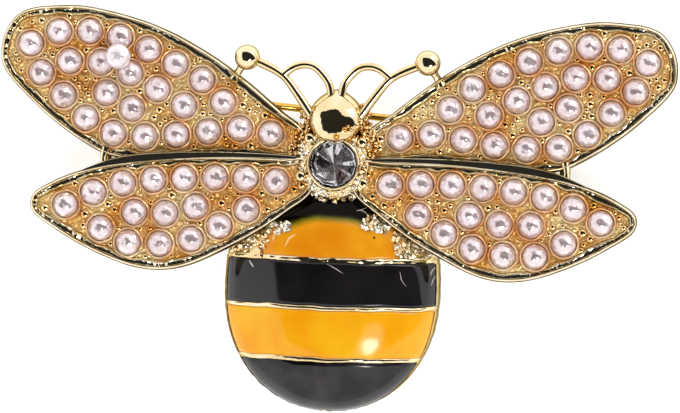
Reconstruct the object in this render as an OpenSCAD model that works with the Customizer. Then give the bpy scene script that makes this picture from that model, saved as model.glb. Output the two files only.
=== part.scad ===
// Bee brooch: a gilt casting with four wings of cup-set pearls, a clear round stone,
// wire antennae, a hollow enamelled abdomen and a hinged pin behind the wings.
// It lies on its back. X runs across the wings and is the mirror direction, +Y points to
// the head, +Z out of the front. Millimetres.

/* [Fore wings] */
// Length of a fore wing from root to tip
fore_len = 28.7; // [25:0.1:33]
// Greatest breadth of a fore wing
fore_breadth = 12.7; // [11:0.1:15]
// Angle of a fore wing's middle line towards the head
fore_sweep = 16; // [12:0.5:20]
// Sideways distance from the stone's centre to a fore wing's root
fore_root_x = 3; // [2.4:0.1:3.6]
// Distance from the stone's centre forward to a fore wing's root
fore_root_y = 1.6; // [1.2:0.1:2]

/* [Hind wings] */
// Length of a hind wing from root to tip
hind_len = 25.8; // [22:0.1:29]
// Greatest breadth of a hind wing
hind_breadth = 10.1; // [9:0.1:12]
// Angle of a hind wing's middle line towards the tail
hind_sweep = 7.8; // [5:0.2:11]
// Sideways distance from the stone's centre to a hind wing's root
hind_root_x = 2; // [1.6:0.1:2.6]
// Distance from the stone's centre back to a hind wing's root
hind_root_y = 1; // [0.7:0.1:1.3]

/* [Wing plates] */
// Thickness of a wing's floor
wing_floor = 0.9; // [0.7:0.05:1.3]
// Width of the rim round a wing
rim_width = 0.5; // [0.35:0.05:0.65]
// Height of the rim above the floor
rim_height = 0.8; // [0.5:0.05:1.1]
// Height of the fore wings' underside above the surface that the brooch lies on
wing_lift = 2.7; // [2.5:0.1:3.4]
// Step from the fore wings up to the hind wings
wing_step = 0.7; // [0.5:0.05:0.85]
// Place of the web between two wings, as a share of the mean length of a fore and a hind wing
web_share = 0.77; // [0.75:0.005:0.81]
// Width of that web
web_w = 1.5; // [1.1:0.1:1.9]
// Length of that web from wing to wing
web_len = 1.9; // [1.7:0.1:2.3]

/* [Pearls] */
// Diameter of a pearl
pearl_d = 2.3; // [1.9:0.05:2.4]
// Height of a flat-backed pearl
pearl_h = 1.6; // [1.3:0.05:1.8]
// Gap round and under a pearl in its cup
pearl_gap = 0.04; // [0.02:0.01:0.08]
// Wall of a pearl's cup
cup_wall = 0.15; // [0.1:0.01:0.2]
// Height of a cup above the wing's floor
cup_height = 0.5; // [0.3:0.05:0.7]
// Depth of a cup's bottom below the wing's floor
cup_sink = 0.15; // [0.05:0.05:0.3]
// Least distance between the cups of one row
cup_space = 0.04; // [0.02:0.01:0.2]
// Diameter of a gold bead between the cups
bead_d = 0.42; // [0.3:0.02:0.5]
// Diameter of the stray round pearl that lies on three others
stray_d = 2.3; // [2:0.05:2.5]

/* [Thorax and stone] */
// Diameter of the round stone at its girdle
stone_d = 4.1; // [3.6:0.1:4.5]
// Height of the stone's crown, from girdle to table
crown_h = 0.8; // [0.6:0.05:1]
// Depth of the stone's pointed back
pavilion_h = 1.5; // [1.2:0.05:1.7]
// Gap between the stone and its seat
stone_gap = 0.05; // [0.02:0.01:0.1]
// Width of the lip round the stone
lip_width = 0.25; // [0.15:0.05:0.35]
// Diameter of the thorax boss
thorax_d = 6.8; // [6.4:0.1:7.4]
// Height of the thorax boss above the fore wings' underside
thorax_h = 2.6; // [2.5:0.1:2.8]
// Diameter of the four claw beads round the stone
claw_d = 0.8; // [0.6:0.05:0.9]

/* [Head and antennae] */
// Diameter of the head
head_d = 5; // [4.4:0.1:5.6]
// Height of the head above the fore wings' underside
head_h = 3.3; // [2.8:0.1:3.6]
// Height of the head's upright side
head_side = 1; // [0.7:0.1:1.4]
// Distance from the stone's centre forward to the head's centre
head_y = 4.05; // [3.8:0.05:4.4]
// Sideways distance of an antenna's ball from the mirror line
antenna_x = 8.2; // [7.6:0.1:9]
// Distance from the stone's centre forward to an antenna's ball
antenna_y = 9.4; // [9:0.1:10.2]
// Height of the antenna wires above the fore wings' underside
antenna_rise = 1.9; // [1.6:0.1:2.2]
// Diameter of the antenna wire
antenna_d = 0.72; // [0.55:0.05:0.9]
// Diameter of the ball on an antenna
ball_d = 2.3; // [1.9:0.1:2.6]

/* [Abdomen] */
// Greatest width of the abdomen
abdomen_w = 19.7; // [18:0.1:21]
// Distance from the stone's centre back to the widest place
abdomen_mid = 11.5; // [11:0.1:12]
// Length of the abdomen ahead of its widest place
abdomen_fore = 10.3; // [9.8:0.1:10.8]
// Length of the abdomen behind its widest place
abdomen_aft = 11; // [10:0.1:12]
// Squareness of the abdomen's plan ahead of its widest place, where 2 is an ellipse
fore_squareness = 2.6; // [2.3:0.1:2.8]
// Squareness of its plan behind that place
aft_squareness = 2.1; // [2:0.1:2.4]
// Height of the upright side wall
abdomen_side = 1.2; // [1:0.05:1.4]
// Height of the dome above the side wall
abdomen_rise = 4.9; // [4.5:0.1:5.2]
// Thickness of the metal under the enamel
abdomen_wall = 0.8; // [0.6:0.05:1]
// How far the gold ridges bow towards the tail
ridge_bow = 0.3; // [0:0.05:0.5]
// Width of a gold ridge between two enamels
ridge_width = 0.34; // [0.25:0.01:0.5]
// Depth of an enamel cell
cell_depth = 0.5; // [0.35:0.05:0.6]
// Gap between an enamel and the walls of its cell
enamel_gap = 0.05; // [0.03:0.01:0.07]

/* [Pin] */
// Diameter of the pin wire
pin_d = 0.66; // [0.5:0.02:0.8]
// Length of the pin from its hinge to its keeper
pin_span = 33.5; // [30:0.1:36]
// Sideways distance from the mirror line to the hinge
hinge_x = 17; // [15.5:0.1:18]
// Distance from the stone's centre forward to the pin at the mirror line
pin_y = 4.7; // [4.5:0.05:4.9]
// Slope of the pin across the back
pin_slope = 4.4; // [3.5:0.1:5]
// Diameter of the rivet that the pin turns on
rivet_d = 0.8; // [0.7:0.05:0.9]
// Radial clearance of the pin's eye on the rivet
rivet_clear = 0.05; // [0.03:0.01:0.08]
// Wall of the pin's eye round the rivet
eye_wall = 0.45; // [0.35:0.05:0.55]
// Thickness of the pin's eye along the rivet
eye_t = 0.8; // [0.6:0.05:1]
// Side clearance of the eye between the hinge's ears
eye_clear = 0.08; // [0.05:0.01:0.15]
// Thickness of each ear of the hinge
ear_t = 0.6; // [0.45:0.05:0.8]
// Diameter of the hinge's ears and of the keeper
ear_d = 2.3; // [2.1:0.05:2.5]
// Length of the keeper along the pin
keeper_len = 2.4; // [1.8:0.1:3]
// Clearance round the pin in the keeper
keeper_clear = 0.1; // [0.07:0.01:0.15]

/* [Hidden] */
$fn = 48;
merge = 0.1; // how far joined metal runs into its neighbour

gold = "goldenrod";
pearl_white = "mistyrose";
amber = "orange";
black = "#181818";

// Outline of a fore wing, root to tip.
// Columns: along (share of the length), ahead and behind the middle line (shares of the breadth).
FORE_OUTLINE = [
    [0.00, 0.095, 0.105],
    [0.10, 0.193, 0.172],
    [0.22, 0.308, 0.255],
    [0.34, 0.402, 0.345],
    [0.46, 0.466, 0.445],
    [0.53, 0.489, 0.487],
    [0.60, 0.500, 0.493],
    [0.70, 0.494, 0.440],
    [0.80, 0.467, 0.359],
    [0.89, 0.403, 0.260],
    [0.955, 0.336, 0.174],
    [0.994, 0.246, 0.080],
];
FORE_TIP = [1.011, 0.085];

// Outline of a hind wing, root to tip, with the same columns.
HIND_OUTLINE = [
    [0.00, 0.135, 0.149],
    [0.10, 0.175, 0.322],
    [0.22, 0.218, 0.480],
    [0.34, 0.252, 0.602],
    [0.46, 0.277, 0.698],
    [0.56, 0.284, 0.718],
    [0.66, 0.285, 0.663],
    [0.76, 0.269, 0.540],
    [0.85, 0.228, 0.396],
    [0.92, 0.171, 0.257],
    [0.972, 0.112, 0.145],
    [0.992, 0.062, 0.082],
];
HIND_TIP = [1.00, -0.008];

// Rows of pearls. Each row is a smooth curve through a few places.
// Columns of a place: along (share of the length), ahead (share of the breadth).
FORE_ROWS = [
    [[0.92, 0.095], [0.845, 0.24], [0.655, 0.335], [0.365, 0.225], [0.28, 0.12]],
    [[0.86, -0.08], [0.58, -0.335], [0.20, -0.02], [0.105, 0.01]],
    [[0.785, 0.06], [0.69, 0.12], [0.585, 0.11], [0.395, 0.01]],
    [[0.643, -0.075], [0.55, -0.125]],
];
HIND_ROWS = [
    [[0.125, -0.03], [0.33, 0.06], [0.665, 0.095], [0.875, -0.045]],
    [[0.76, -0.285], [0.655, -0.45], [0.44, -0.465], [0.24, -0.255]],
    [[0.635, -0.176], [0.523, -0.213], [0.418, -0.181]],
];
// Place of the stray pearl on the left fore wing, with the same columns
STRAY_PLACE = [0.635, 0.17];

// Corners of the antenna wires. Columns: across and ahead (shares of the ball's distances).
// The last corner of each wire lies in the head.
STALK = [[1.00, 1.00], [0.82, 0.94], [0.66, 0.872], [0.55, 0.795], [0.42, 0.65]];
LOOP = [[0.60, 0.838], [0.48, 0.918], [0.366, 0.947], [0.256, 0.93], [0.16, 0.86], [0.08, 0.755]];

// Enamel cells. Columns: middles of the ridges ahead and behind (shares of the abdomen's
// length), angle of the cell's edge above the side wall in a cross section.
FORE = [0.047, 0.337, 49];
MIDDLE = [0.337, 0.543, 13];
LOWER = [0.543, 0.766, 13];
TIP = [0.766, 0.994, 13];
NECK_TURN = 8; // where the casting starts and ends, as angles from its ends round the plan
TAIL_TURN = 4;
WALL_TURN = 0.4; // draft of a cell's fore and aft walls, as an angle round the plan
WALL_LIFT = 0.8; // draft of a cell's side walls, as an angle in the cross section

fore_z = wing_lift;
hind_z = wing_lift + wing_step;
cup_d = pearl_d + 2 * pearl_gap + 2 * cup_wall;
seat_pitch = cup_d + cup_space;
girdle_z = wing_lift + thorax_h;
pin_z = ear_d / 2;
abdomen_len = abdomen_fore + abdomen_aft;
antenna_z = wing_lift + antenna_rise;
web_x = web_share * (fore_len + hind_len) / 2;
web_y = -0.15;

// Smooth curves

function spline_point(a, b, c, d, t) =
    0.5 * (2 * b + (c - a) * t + (2 * a - 5 * b + 4 * c - d) * t * t + (3 * b - a - 3 * c + d) * t * t * t);

function closed_spline(points, steps) = let (n = len(points)) [
    for (i = [0:n - 1]) for (k = [0:steps - 1])
        spline_point(points[(i + n - 1) % n], points[i], points[(i + 1) % n], points[(i + 2) % n], k / steps)
];

function open_spline(points, steps) = let (
    n = len(points),
    all = concat([2 * points[0] - points[1]], points, [2 * points[n - 1] - points[n - 2]])
) concat(
    [for (i = [0:n - 2]) for (k = [0:steps - 1])
        spline_point(all[i], all[i + 1], all[i + 2], all[i + 3], k / steps)],
    [points[n - 1]]
);

function running_length(curve, i = 1, sum = 0) =
    i >= len(curve) ? [sum] : concat([sum], running_length(curve, i + 1, sum + norm(curve[i] - curve[i - 1])));

function place_at(curve, run, distance, i = 0) =
    i >= len(curve) - 2 || run[i + 1] >= distance
    ? let (t = (distance - run[i]) / (run[i + 1] - run[i])) curve[i] + (curve[i + 1] - curve[i]) * t
    : place_at(curve, run, distance, i + 1);

// Wing plans, in a wing's own frame: x along its middle line, y ahead

function wing_outline(table, tip, length, breadth) = closed_spline(concat(
    [for (row = table) [row[0] * length, row[1] * breadth]],
    [[tip[0] * length, tip[1] * breadth]],
    [for (i = [len(table) - 1:-1:0]) [table[i][0] * length, -table[i][2] * breadth]]
), 3);

// The outline moved inwards by a distance, outwards where that is negative
function inset(outline, distance) = let (n = len(outline)) [
    for (i = [0:n - 1])
        let (v = outline[(i + 1) % n] - outline[(i + n - 1) % n]) outline[i] + [v.y, -v.x] / norm(v) * distance
];

function row_places(row, length, breadth) = let (
    curve = open_spline([for (p = row) [p[0] * length, p[1] * breadth]], 10),
    run = running_length(curve),
    total = run[len(run) - 1],
    gaps = floor(total / seat_pitch + 0.01)
) gaps == 0 ? [place_at(curve, run, total / 2)] : [for (i = [0:gaps]) place_at(curve, run, total * i / gaps)];

function segment_distance(p, a, b) = let (
    along = b - a,
    t = max(0, min(1, (p - a) * along / (along * along)))
) norm(p - a - along * t);

function edge_distance(p, outline) = let (n = len(outline))
    min([for (i = [0:n - 1]) segment_distance(p, outline[i], outline[(i + 1) % n])]);

function is_clear(p, others, gap) = len([for (q = others) if (norm(p - q) < gap) 1]) == 0;

function keep_apart(todo, gap, i = 0, kept = []) =
    i >= len(todo) ? kept
    : keep_apart(todo, gap, i + 1, is_clear(todo[i], kept, gap) ? concat(kept, [todo[i]]) : kept);

function wing_seats(rows, outline, length, breadth) = keep_apart([
    for (row = rows) for (p = row_places(row, length, breadth))
        if (edge_distance(p, outline) > rim_width + cup_d / 2) p
], cup_d + cup_space / 2);

// A bead lies in the crotch on each side of two neighbouring cups
function crotches(seats, reach) = [
    for (i = [0:len(seats) - 2]) for (j = [i + 1:len(seats) - 1])
        let (half = (seats[j] - seats[i]) / 2, h = norm(half))
        if (h < reach * 0.97)
            for (side = [-1, 1])
                seats[i] + half + side * [-half.y, half.x] / h * sqrt(reach * reach - h * h)
];

function wing_beads(seats, outline) = let (reach = (cup_d + bead_d) / 2 + 0.03) keep_apart([
    for (p = crotches(seats, reach))
        if (is_clear(p, seats, reach - 0.01) && edge_distance(p, outline) > rim_width + bead_d / 2 + 0.03) p
], bead_d + 0.03);

fore_outline = wing_outline(FORE_OUTLINE, FORE_TIP, fore_len, fore_breadth);
hind_outline = wing_outline(HIND_OUTLINE, HIND_TIP, hind_len, hind_breadth);
fore_seats = wing_seats(FORE_ROWS, fore_outline, fore_len, fore_breadth);
hind_seats = wing_seats(HIND_ROWS, hind_outline, hind_len, hind_breadth);
fore_beads = wing_beads(fore_seats, fore_outline);
hind_beads = wing_beads(hind_seats, hind_outline);

// The frame's origin is under the middle of the whole brooch, so Y is shifted from the stone
function turned(p, angle) = [p.x * cos(angle) - p.y * sin(angle), p.x * sin(angle) + p.y * cos(angle)];
wing_top = max([for (p = fore_outline) fore_root_y + turned(p, fore_sweep).y]);
tail_end = -abdomen_mid - abdomen_aft * cos(TAIL_TURN);
shift_y = -(wing_top + tail_end) / 2;

// The stray pearl rests on the three pearls nearest to its place
function nearest_three(places, p, found = []) = len(found) >= 3 ? found : let (
    rest = [for (q = places) if (is_clear(q, found, 0.01)) q],
    near = min([for (q = rest) norm(p - q)])
) nearest_three(places, p, concat(found, [for (q = rest) if (norm(p - q) == near) q]));

function circumcentre(a, b, c) = let (
    u = b - a,
    v = c - a
) a + [v.y * (u * u) - u.y * (v * v), u.x * (v * v) - v.x * (u * u)] / (2 * (u.x * v.y - u.y * v.x));

bearers = nearest_three(fore_seats, [STRAY_PLACE[0] * fore_len, STRAY_PLACE[1] * fore_breadth]);
stray_xy = circumcentre(bearers[0], bearers[1], bearers[2]);
stray_reach = pearl_d / 2 + stray_d / 2 + pearl_gap;
stray_away = min(norm(stray_xy - bearers[0]), stray_reach);
stray_z = wing_floor - cup_sink + pearl_gap + pearl_h - pearl_d / 2
    + sqrt(stray_reach * stray_reach - stray_away * stray_away);

module in_frame() {
    translate([0, shift_y, 0]) children();
}

module mirrored() {
    children();
    mirror([1, 0, 0]) children();
}

module at_fore_wing() {
    translate([fore_root_x, fore_root_y, fore_z]) rotate(fore_sweep) children();
}

module at_hind_wing() {
    translate([hind_root_x, -hind_root_y, hind_z]) rotate(-hind_sweep) children();
}

// One wing: a rimmed tray with cups and beads on its floor
module wing(outline, seats, beads) {
    difference() {
        union() {
            linear_extrude(wing_floor) polygon(inset(outline, rim_width / 2));
            linear_extrude(wing_floor + rim_height) difference() {
                polygon(outline);
                polygon(inset(outline, rim_width));
            }
            for (p = seats) translate([p.x, p.y, wing_floor - merge]) cylinder(d = cup_d, h = cup_height + merge);
            for (p = beads) translate([p.x, p.y, wing_floor]) sphere(d = bead_d, $fn = 16);
        }
        for (p = seats) translate([p.x, p.y, wing_floor - cup_sink])
            cylinder(d = pearl_d + 2 * pearl_gap, h = cup_sink + cup_height + merge);
    }
}

// A flat-backed pearl standing on z = 0
module pearl() {
    difference() {
        translate([0, 0, pearl_h - pearl_d / 2]) sphere(d = pearl_d);
        translate([-pearl_d, -pearl_d, -pearl_d]) cube([2 * pearl_d, 2 * pearl_d, pearl_d]);
    }
}

module pearl_field(seats) {
    for (p = seats) translate([p.x, p.y, wing_floor - cup_sink + pearl_gap]) pearl();
}

// Thorax: a boss with a thin lip round the stone and four claw beads at its corners
seat_r = stone_d / 2 + stone_gap;
lip_r = seat_r + lip_width;

module thorax() {
    r = thorax_d / 2;
    translate([0, 0, wing_lift]) {
        rotate_extrude() polygon([
            [0, 0], [r, 0], [r, thorax_h * 0.66], [r - 0.4, thorax_h * 0.82],
            [lip_r, thorax_h * 0.93], [lip_r, thorax_h + 0.12], [0, thorax_h + 0.12]
        ]);
        for (a = [39, 135, 202, 328]) rotate(a) translate([r - 0.2, 0, thorax_h * 0.84]) sphere(d = claw_d);
    }
}

// The conical seat of the stone
module stone_seat() {
    translate([0, 0, girdle_z]) rotate_extrude() polygon([
        [0, -pavilion_h - 2 * stone_gap], [seat_r, -2 * stone_gap], [seat_r, 2], [0, 2]
    ]);
}

// Round stone: an eight-sided table, a sixteen-sided girdle and a pointed back
module stone() {
    r = stone_d / 2;
    hull() {
        rotate(22.5) translate([0, 0, crown_h - 0.02]) cylinder(r = r * 0.62, h = 0.02, $fn = 8);
        cylinder(r = r, h = 0.12, $fn = 16);
        translate([0, 0, -pavilion_h]) cylinder(r = 0.08, h = 0.02, $fn = 8);
    }
}

// Head: a smooth round knob
module head() {
    translate([0, head_y, wing_lift]) rotate_extrude() polygon(concat(
        [[0, 0], [head_d / 2, 0]],
        [for (i = [0:9]) [head_d / 2 * cos(10 * i), head_side + (head_h - head_side) * sin(10 * i)]]
    ));
}

// Solids skinned over grids of points

// A slab between two grids of the same size, the first one outside
module slab(outer, inner) {
    rows = len(outer);
    cols = len(outer[0]);
    count = rows * cols;
    points = concat([for (row = outer) each row], [for (row = inner) each row]);
    function at(i, j) = i * cols + j;
    polyhedron(points, concat(
        [for (i = [0:rows - 2]) for (j = [0:cols - 2]) each
            [[at(i, j), at(i, j + 1), at(i + 1, j + 1)], [at(i, j), at(i + 1, j + 1), at(i + 1, j)]]],
        [for (i = [0:rows - 2]) for (j = [0:cols - 2]) each
            [[count + at(i, j), count + at(i + 1, j + 1), count + at(i, j + 1)],
             [count + at(i, j), count + at(i + 1, j), count + at(i + 1, j + 1)]]],
        [for (j = [0:cols - 2]) for (i = [0, rows - 1])
            let (a = at(i, j), b = at(i, j + 1))
            each i == 0 ? [[a, count + a, count + b], [a, count + b, b]] : [[a, b, count + b], [a, count + b, count + a]]],
        [for (i = [0:rows - 2]) for (j = [0, cols - 1])
            let (a = at(i, j), b = at(i + 1, j))
            each j == 0 ? [[a, b, count + b], [a, count + b, count + a]] : [[a, count + a, count + b], [a, count + b, b]]]
    ));
}

// A solid through closed rings of the same count, closed by a fan at each end
module loft(rings) {
    rows = len(rings);
    cols = len(rings[0]);
    function at(i, j) = i * cols + j % cols;
    polyhedron([for (ring = rings) each ring], concat(
        [for (i = [0:rows - 2]) for (j = [0:cols - 1]) each
            [[at(i, j), at(i, j + 1), at(i + 1, j + 1)], [at(i, j), at(i + 1, j + 1), at(i + 1, j)]]],
        [for (j = [1:cols - 2]) [at(0, 0), at(0, j + 1), at(0, j)]],
        [for (j = [1:cols - 2]) [at(rows - 1, 0), at(rows - 1, j), at(rows - 1, j + 1)]]
    ));
}

// Antennae

// A level round rod from place p to place q
module rod(p, q, d) {
    translate([p.x, p.y, antenna_z]) rotate([0, 0, atan2(q.y - p.y, q.x - p.x)]) rotate([0, 90, 0])
        cylinder(d = d, h = norm(q - p));
}

// A level round wire along a path of [x, y] places
module wire(path, d, sides = 12) {
    n = len(path);
    function heading(i) = let (v = path[min(i + 1, n - 1)] - path[max(i - 1, 0)]) v / norm(v);
    loft([for (i = [0:n - 1]) let (v = heading(i)) [for (k = [0:sides - 1]) let (a = 360 * k / sides)
        [path[i].x + v.y * cos(a) * d / 2, path[i].y - v.x * cos(a) * d / 2, antenna_z + sin(a) * d / 2]]]);
}

function antenna_path(shares) = [for (p = shares) [p[0] * antenna_x, p[1] * antenna_y]];
function on_head(across, ahead) = [across * head_d / 2, head_y + ahead * head_d / 2];

module antenna() {
    wire(open_spline(concat(antenna_path(STALK), [on_head(0.8, 0)]), 3), antenna_d);
    wire(open_spline(concat(antenna_path(LOOP), [on_head(0.16, 0.6)]), 2), antenna_d * 0.94);
    translate([antenna_x, antenna_y, antenna_z]) rotate([90, -90, 0]) sphere(d = ball_d);
    ball_link();
}

// A short neck of metal joins the ball to the rim of the fore wing
module ball_link() {
    translate([0, 0, fore_z + wing_floor + 0.12 - antenna_z])
        rod([antenna_x, antenna_y], [antenna_x + ball_d * 0.5, antenna_y - ball_d * 0.8], antenna_d);
}

// Web: a waisted post in the notch between a fore wing and a hind wing
module notch_web() {
    translate([web_x, web_y, fore_z]) linear_extrude(wing_step + wing_floor - merge) difference() {
        square([web_w, web_len], center = true);
        translate([web_w * 0.85, 0]) circle(d = web_w);
    }
}

// Abdomen

function row_turn(y) = let (a = y + abdomen_mid) acos(max(-1, min(1, a / (a > 0 ? abdomen_fore : abdomen_aft))));
function share_y(share) = abdomen_fore - abdomen_mid - share * abdomen_len;

function half_share(turn) = let (n = turn < 90 ? fore_squareness : aft_squareness) pow(1 - pow(abs(cos(turn)), n), 1 / n);

function dome_point(turn, lift, inset) = let (
    s = sin(turn),
    c = cos(turn),
    half = (abdomen_w / 2 - inset) * half_share(turn),
    reach = (c > 0 ? abdomen_fore : abdomen_aft) - inset,
    rise = (abdomen_rise - inset) * pow(s, 0.8)
) [-half * cos(lift), c * reach - abdomen_mid - ridge_bow * s * sin(lift), abdomen_side + rise * pow(sin(lift), 0.9)];

function cell_start(cell) = share_y(cell[0]) - ridge_width / 2;
function cell_end(cell) = share_y(cell[1]) + ridge_width / 2;

// The rows of the casting's outside. Columns: turn, and the edge angle of a cell that the row lies in.
function cell_rows(cell, steps) = let (
    a = row_turn(cell_start(cell)),
    b = row_turn(cell_end(cell))
) concat(
    [[a, 0]],
    [for (i = [0:steps]) [a + WALL_TURN + (b - a - 2 * WALL_TURN) * i / steps, cell[2]]],
    [[b, 0]]
);

cast_rows = concat(
    [[NECK_TURN, 0]],
    cell_rows(FORE, 6),
    cell_rows(MIDDLE, 4),
    cell_rows(LOWER, 4),
    cell_rows(TIP, 6),
    [[180 - TAIL_TURN, 0]]
);
half_columns = [0, 6, LOWER[2], LOWER[2] + WALL_LIFT, 20, 29, 39, FORE[2], FORE[2] + WALL_LIFT, 58, 68, 79];
columns = concat(half_columns, [90], [for (i = [len(half_columns) - 1:-1:0]) 180 - half_columns[i]]);

function is_sunk(edge, lift) = edge > 0 && lift > edge && lift < 180 - edge;

function closed_section(section, bottom) = concat(
    [[section[0].x, section[0].y, bottom]], section,
    [[section[len(section) - 1].x, section[len(section) - 1].y, bottom]]
);

module abdomen_shell() {
    hollow = cell_depth + abdomen_wall;
    difference() {
        loft([for (row = cast_rows) closed_section(
            [for (lift = columns) dome_point(row[0], lift, is_sunk(row[1], lift) ? cell_depth : 0)], 0)]);
        loft([for (turn = [12:13:168]) closed_section(
            [for (lift = [0:15:180]) dome_point(turn, lift, hollow)], -1)]);
    }
}

module enamel(cell, steps, lifts) {
    side = enamel_gap + abdomen_fore * WALL_TURN * PI / 180;
    a = row_turn(cell_start(cell) - side);
    b = row_turn(cell_end(cell) + side);
    edge = cell[2] + WALL_LIFT + 0.4;
    function grid(inset) = [for (i = [0:steps]) [for (k = [0:lifts])
        dome_point(a + (b - a) * i / steps, edge + (180 - 2 * edge) * k / lifts, inset)]];
    slab(grid(enamel_gap), grid(cell_depth - enamel_gap));
}

// The foremost enamel runs up to the thorax boss and the rims of the hind wings
module cut_enamel_fore() {
    difference() {
        enamel(FORE, 7, 12);
        cylinder(d = thorax_d + 2 * enamel_gap, h = 2 * wing_lift + thorax_h);
        mirrored() at_hind_wing() translate([0, 0, -hind_z]) linear_extrude(2 * wing_lift + thorax_h)
            polygon(inset(hind_outline, -enamel_gap));
    }
}

// Pin, hinge and keeper, in the pin's own frame: the hinge's axis is y, x runs to the keeper

module at_pin() {
    translate([0, pin_y, 0]) rotate(-pin_slope) translate([-hinge_x / cos(pin_slope), 0, pin_z]) children();
}

module along_rivet(length) {
    rotate([90, 0, 0]) translate([0, 0, -length / 2]) children();
}

ear_span = eye_t + 2 * eye_clear + 2 * ear_t;

module hinge_ears() {
    at_pin() {
        for (side = [-1, 1]) translate([0, side * (ear_span - ear_t) / 2, 0]) {
            along_rivet(ear_t) cylinder(d = ear_d, h = ear_t);
            translate([-ear_d / 2, -ear_t / 2, 0]) cube([ear_d, ear_t, wing_lift - pin_z + wing_floor / 2]);
        }
        along_rivet(ear_span) cylinder(d = rivet_d, h = ear_span);
    }
}

module keeper() {
    bore = pin_d / 2 + keeper_clear;
    at_pin() translate([pin_span - keeper_len / 2, 0, 0]) difference() {
        union() {
            rotate([0, 90, 0]) cylinder(d = ear_d, h = keeper_len);
            translate([0, -ear_d * 0.3, 0]) cube([keeper_len, ear_d * 0.6, wing_lift - pin_z + wing_floor / 2]);
        }
        translate([-1, 0, 0]) rotate([0, 90, 0]) cylinder(r = bore, h = keeper_len + 2);
        translate([-1, -bore, -ear_d]) cube([keeper_len + 2, 2 * bore, ear_d]);
    }
}

module pin() {
    eye_d = rivet_d + 2 * rivet_clear + 2 * eye_wall;
    neck_end = ear_d / 2 + 0.45;
    free_end = pin_span - keeper_len / 2 - 0.6;
    at_pin() difference() {
        union() {
            along_rivet(eye_t) cylinder(d = eye_d, h = eye_t);
            rotate([0, 90, 0]) cylinder(d1 = 1.5 * pin_d, d2 = pin_d, h = neck_end);
            translate([neck_end - merge, 0, 0]) rotate([0, 90, 0]) cylinder(d = pin_d, h = free_end - neck_end + merge);
            translate([free_end, 0, 0]) rotate([0, 90, 0]) cylinder(d1 = pin_d, d2 = 0.12, h = keeper_len + 1.6);
        }
        along_rivet(eye_t + 1) cylinder(d = rivet_d + 2 * rivet_clear, h = eye_t + 1);
    }
}

// Nodes

module cast_body() {
    color(gold) in_frame() difference() {
        union() {
            mirrored() {
                at_fore_wing() wing(fore_outline, fore_seats, fore_beads);
                at_hind_wing() wing(hind_outline, hind_seats, hind_beads);
                antenna();
                notch_web();
            }
            thorax();
            head();
            abdomen_shell();
            hinge_ears();
            keeper();
        }
        stone_seat();
    }
}

module pearls_fore_right() {
    color(pearl_white) in_frame() at_fore_wing() pearl_field(fore_seats);
}

module pearls_fore_left() {
    color(pearl_white) in_frame() mirror([1, 0, 0]) at_fore_wing() pearl_field(fore_seats);
}

module pearls_hind_right() {
    color(pearl_white) in_frame() at_hind_wing() pearl_field(hind_seats);
}

module pearls_hind_left() {
    color(pearl_white) in_frame() mirror([1, 0, 0]) at_hind_wing() pearl_field(hind_seats);
}

module stray_pearl() {
    color(pearl_white) in_frame() mirror([1, 0, 0]) at_fore_wing()
        translate([stray_xy.x, stray_xy.y, stray_z]) sphere(d = stray_d);
}

module centre_stone() {
    color("lightgray") in_frame() translate([0, 0, girdle_z]) stone();
}

module enamel_fore() {
    color(amber) in_frame() cut_enamel_fore();
}

module enamel_middle() {
    color(black) in_frame() enamel(MIDDLE, 4, 18);
}

module enamel_lower() {
    color(amber) in_frame() enamel(LOWER, 5, 18);
}

module enamel_tip() {
    color(black) in_frame() enamel(TIP, 7, 18);
}

module pin_stem() {
    color(gold) in_frame() pin();
}

cast_body();
pearls_fore_right();
pearls_fore_left();
pearls_hind_right();
pearls_hind_left();
stray_pearl();
centre_stone();
enamel_fore();
enamel_middle();
enamel_lower();
enamel_tip();
pin_stem();
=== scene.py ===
# %% [markdown]
# A gilt bee brooch, dressed for its picture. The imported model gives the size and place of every
# solid; this lesson skins them with finer surfaces and gives each the finish of the real piece.
# Everything is worked out in millimetres around the stone's centre, the way a jeweller would
# measure it, and turned into metres of the shared frame when a piece is made.

# %% Load the frame
import math
import bmesh
import bpy
import mathutils
import numpy as np
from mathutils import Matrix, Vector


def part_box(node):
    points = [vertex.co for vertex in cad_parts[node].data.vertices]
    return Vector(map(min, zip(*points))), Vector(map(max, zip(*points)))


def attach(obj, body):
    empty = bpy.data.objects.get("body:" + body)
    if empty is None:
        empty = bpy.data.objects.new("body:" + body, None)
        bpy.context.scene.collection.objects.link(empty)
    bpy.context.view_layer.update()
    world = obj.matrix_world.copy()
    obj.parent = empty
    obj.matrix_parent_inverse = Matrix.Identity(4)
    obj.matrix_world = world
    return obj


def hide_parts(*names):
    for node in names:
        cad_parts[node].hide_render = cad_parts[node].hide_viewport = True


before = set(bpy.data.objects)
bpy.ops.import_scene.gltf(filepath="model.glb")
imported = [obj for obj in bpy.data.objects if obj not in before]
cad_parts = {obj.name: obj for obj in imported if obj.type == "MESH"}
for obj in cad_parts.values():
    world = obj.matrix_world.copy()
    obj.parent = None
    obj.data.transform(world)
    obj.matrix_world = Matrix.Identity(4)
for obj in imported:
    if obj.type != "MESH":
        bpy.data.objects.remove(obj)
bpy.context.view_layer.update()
MM = 0.001
BODY = "brooch"
stone_low, stone_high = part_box("centre_stone")
# How far ahead of the frame's origin the stone's centre lies, in millimetres
SHIFT_Y = (stone_low[1] + stone_high[1]) / 2 / MM
print("nodes:", sorted(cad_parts), "stone at y =", round(SHIFT_Y, 3), "mm")

# %% [markdown]
# A surface is a grid of points: rows one way, columns the other. numpy works out the whole
# grid at once, and the faces between its points follow from their numbers alone. Grids that
# close on themselves wrap round, and a stack of rings is closed by a ring shrunk to a point at
# each end. Blender's circles and cubes could be joined instead, but a formula puts every edge
# exactly where the solid has it.

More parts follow.
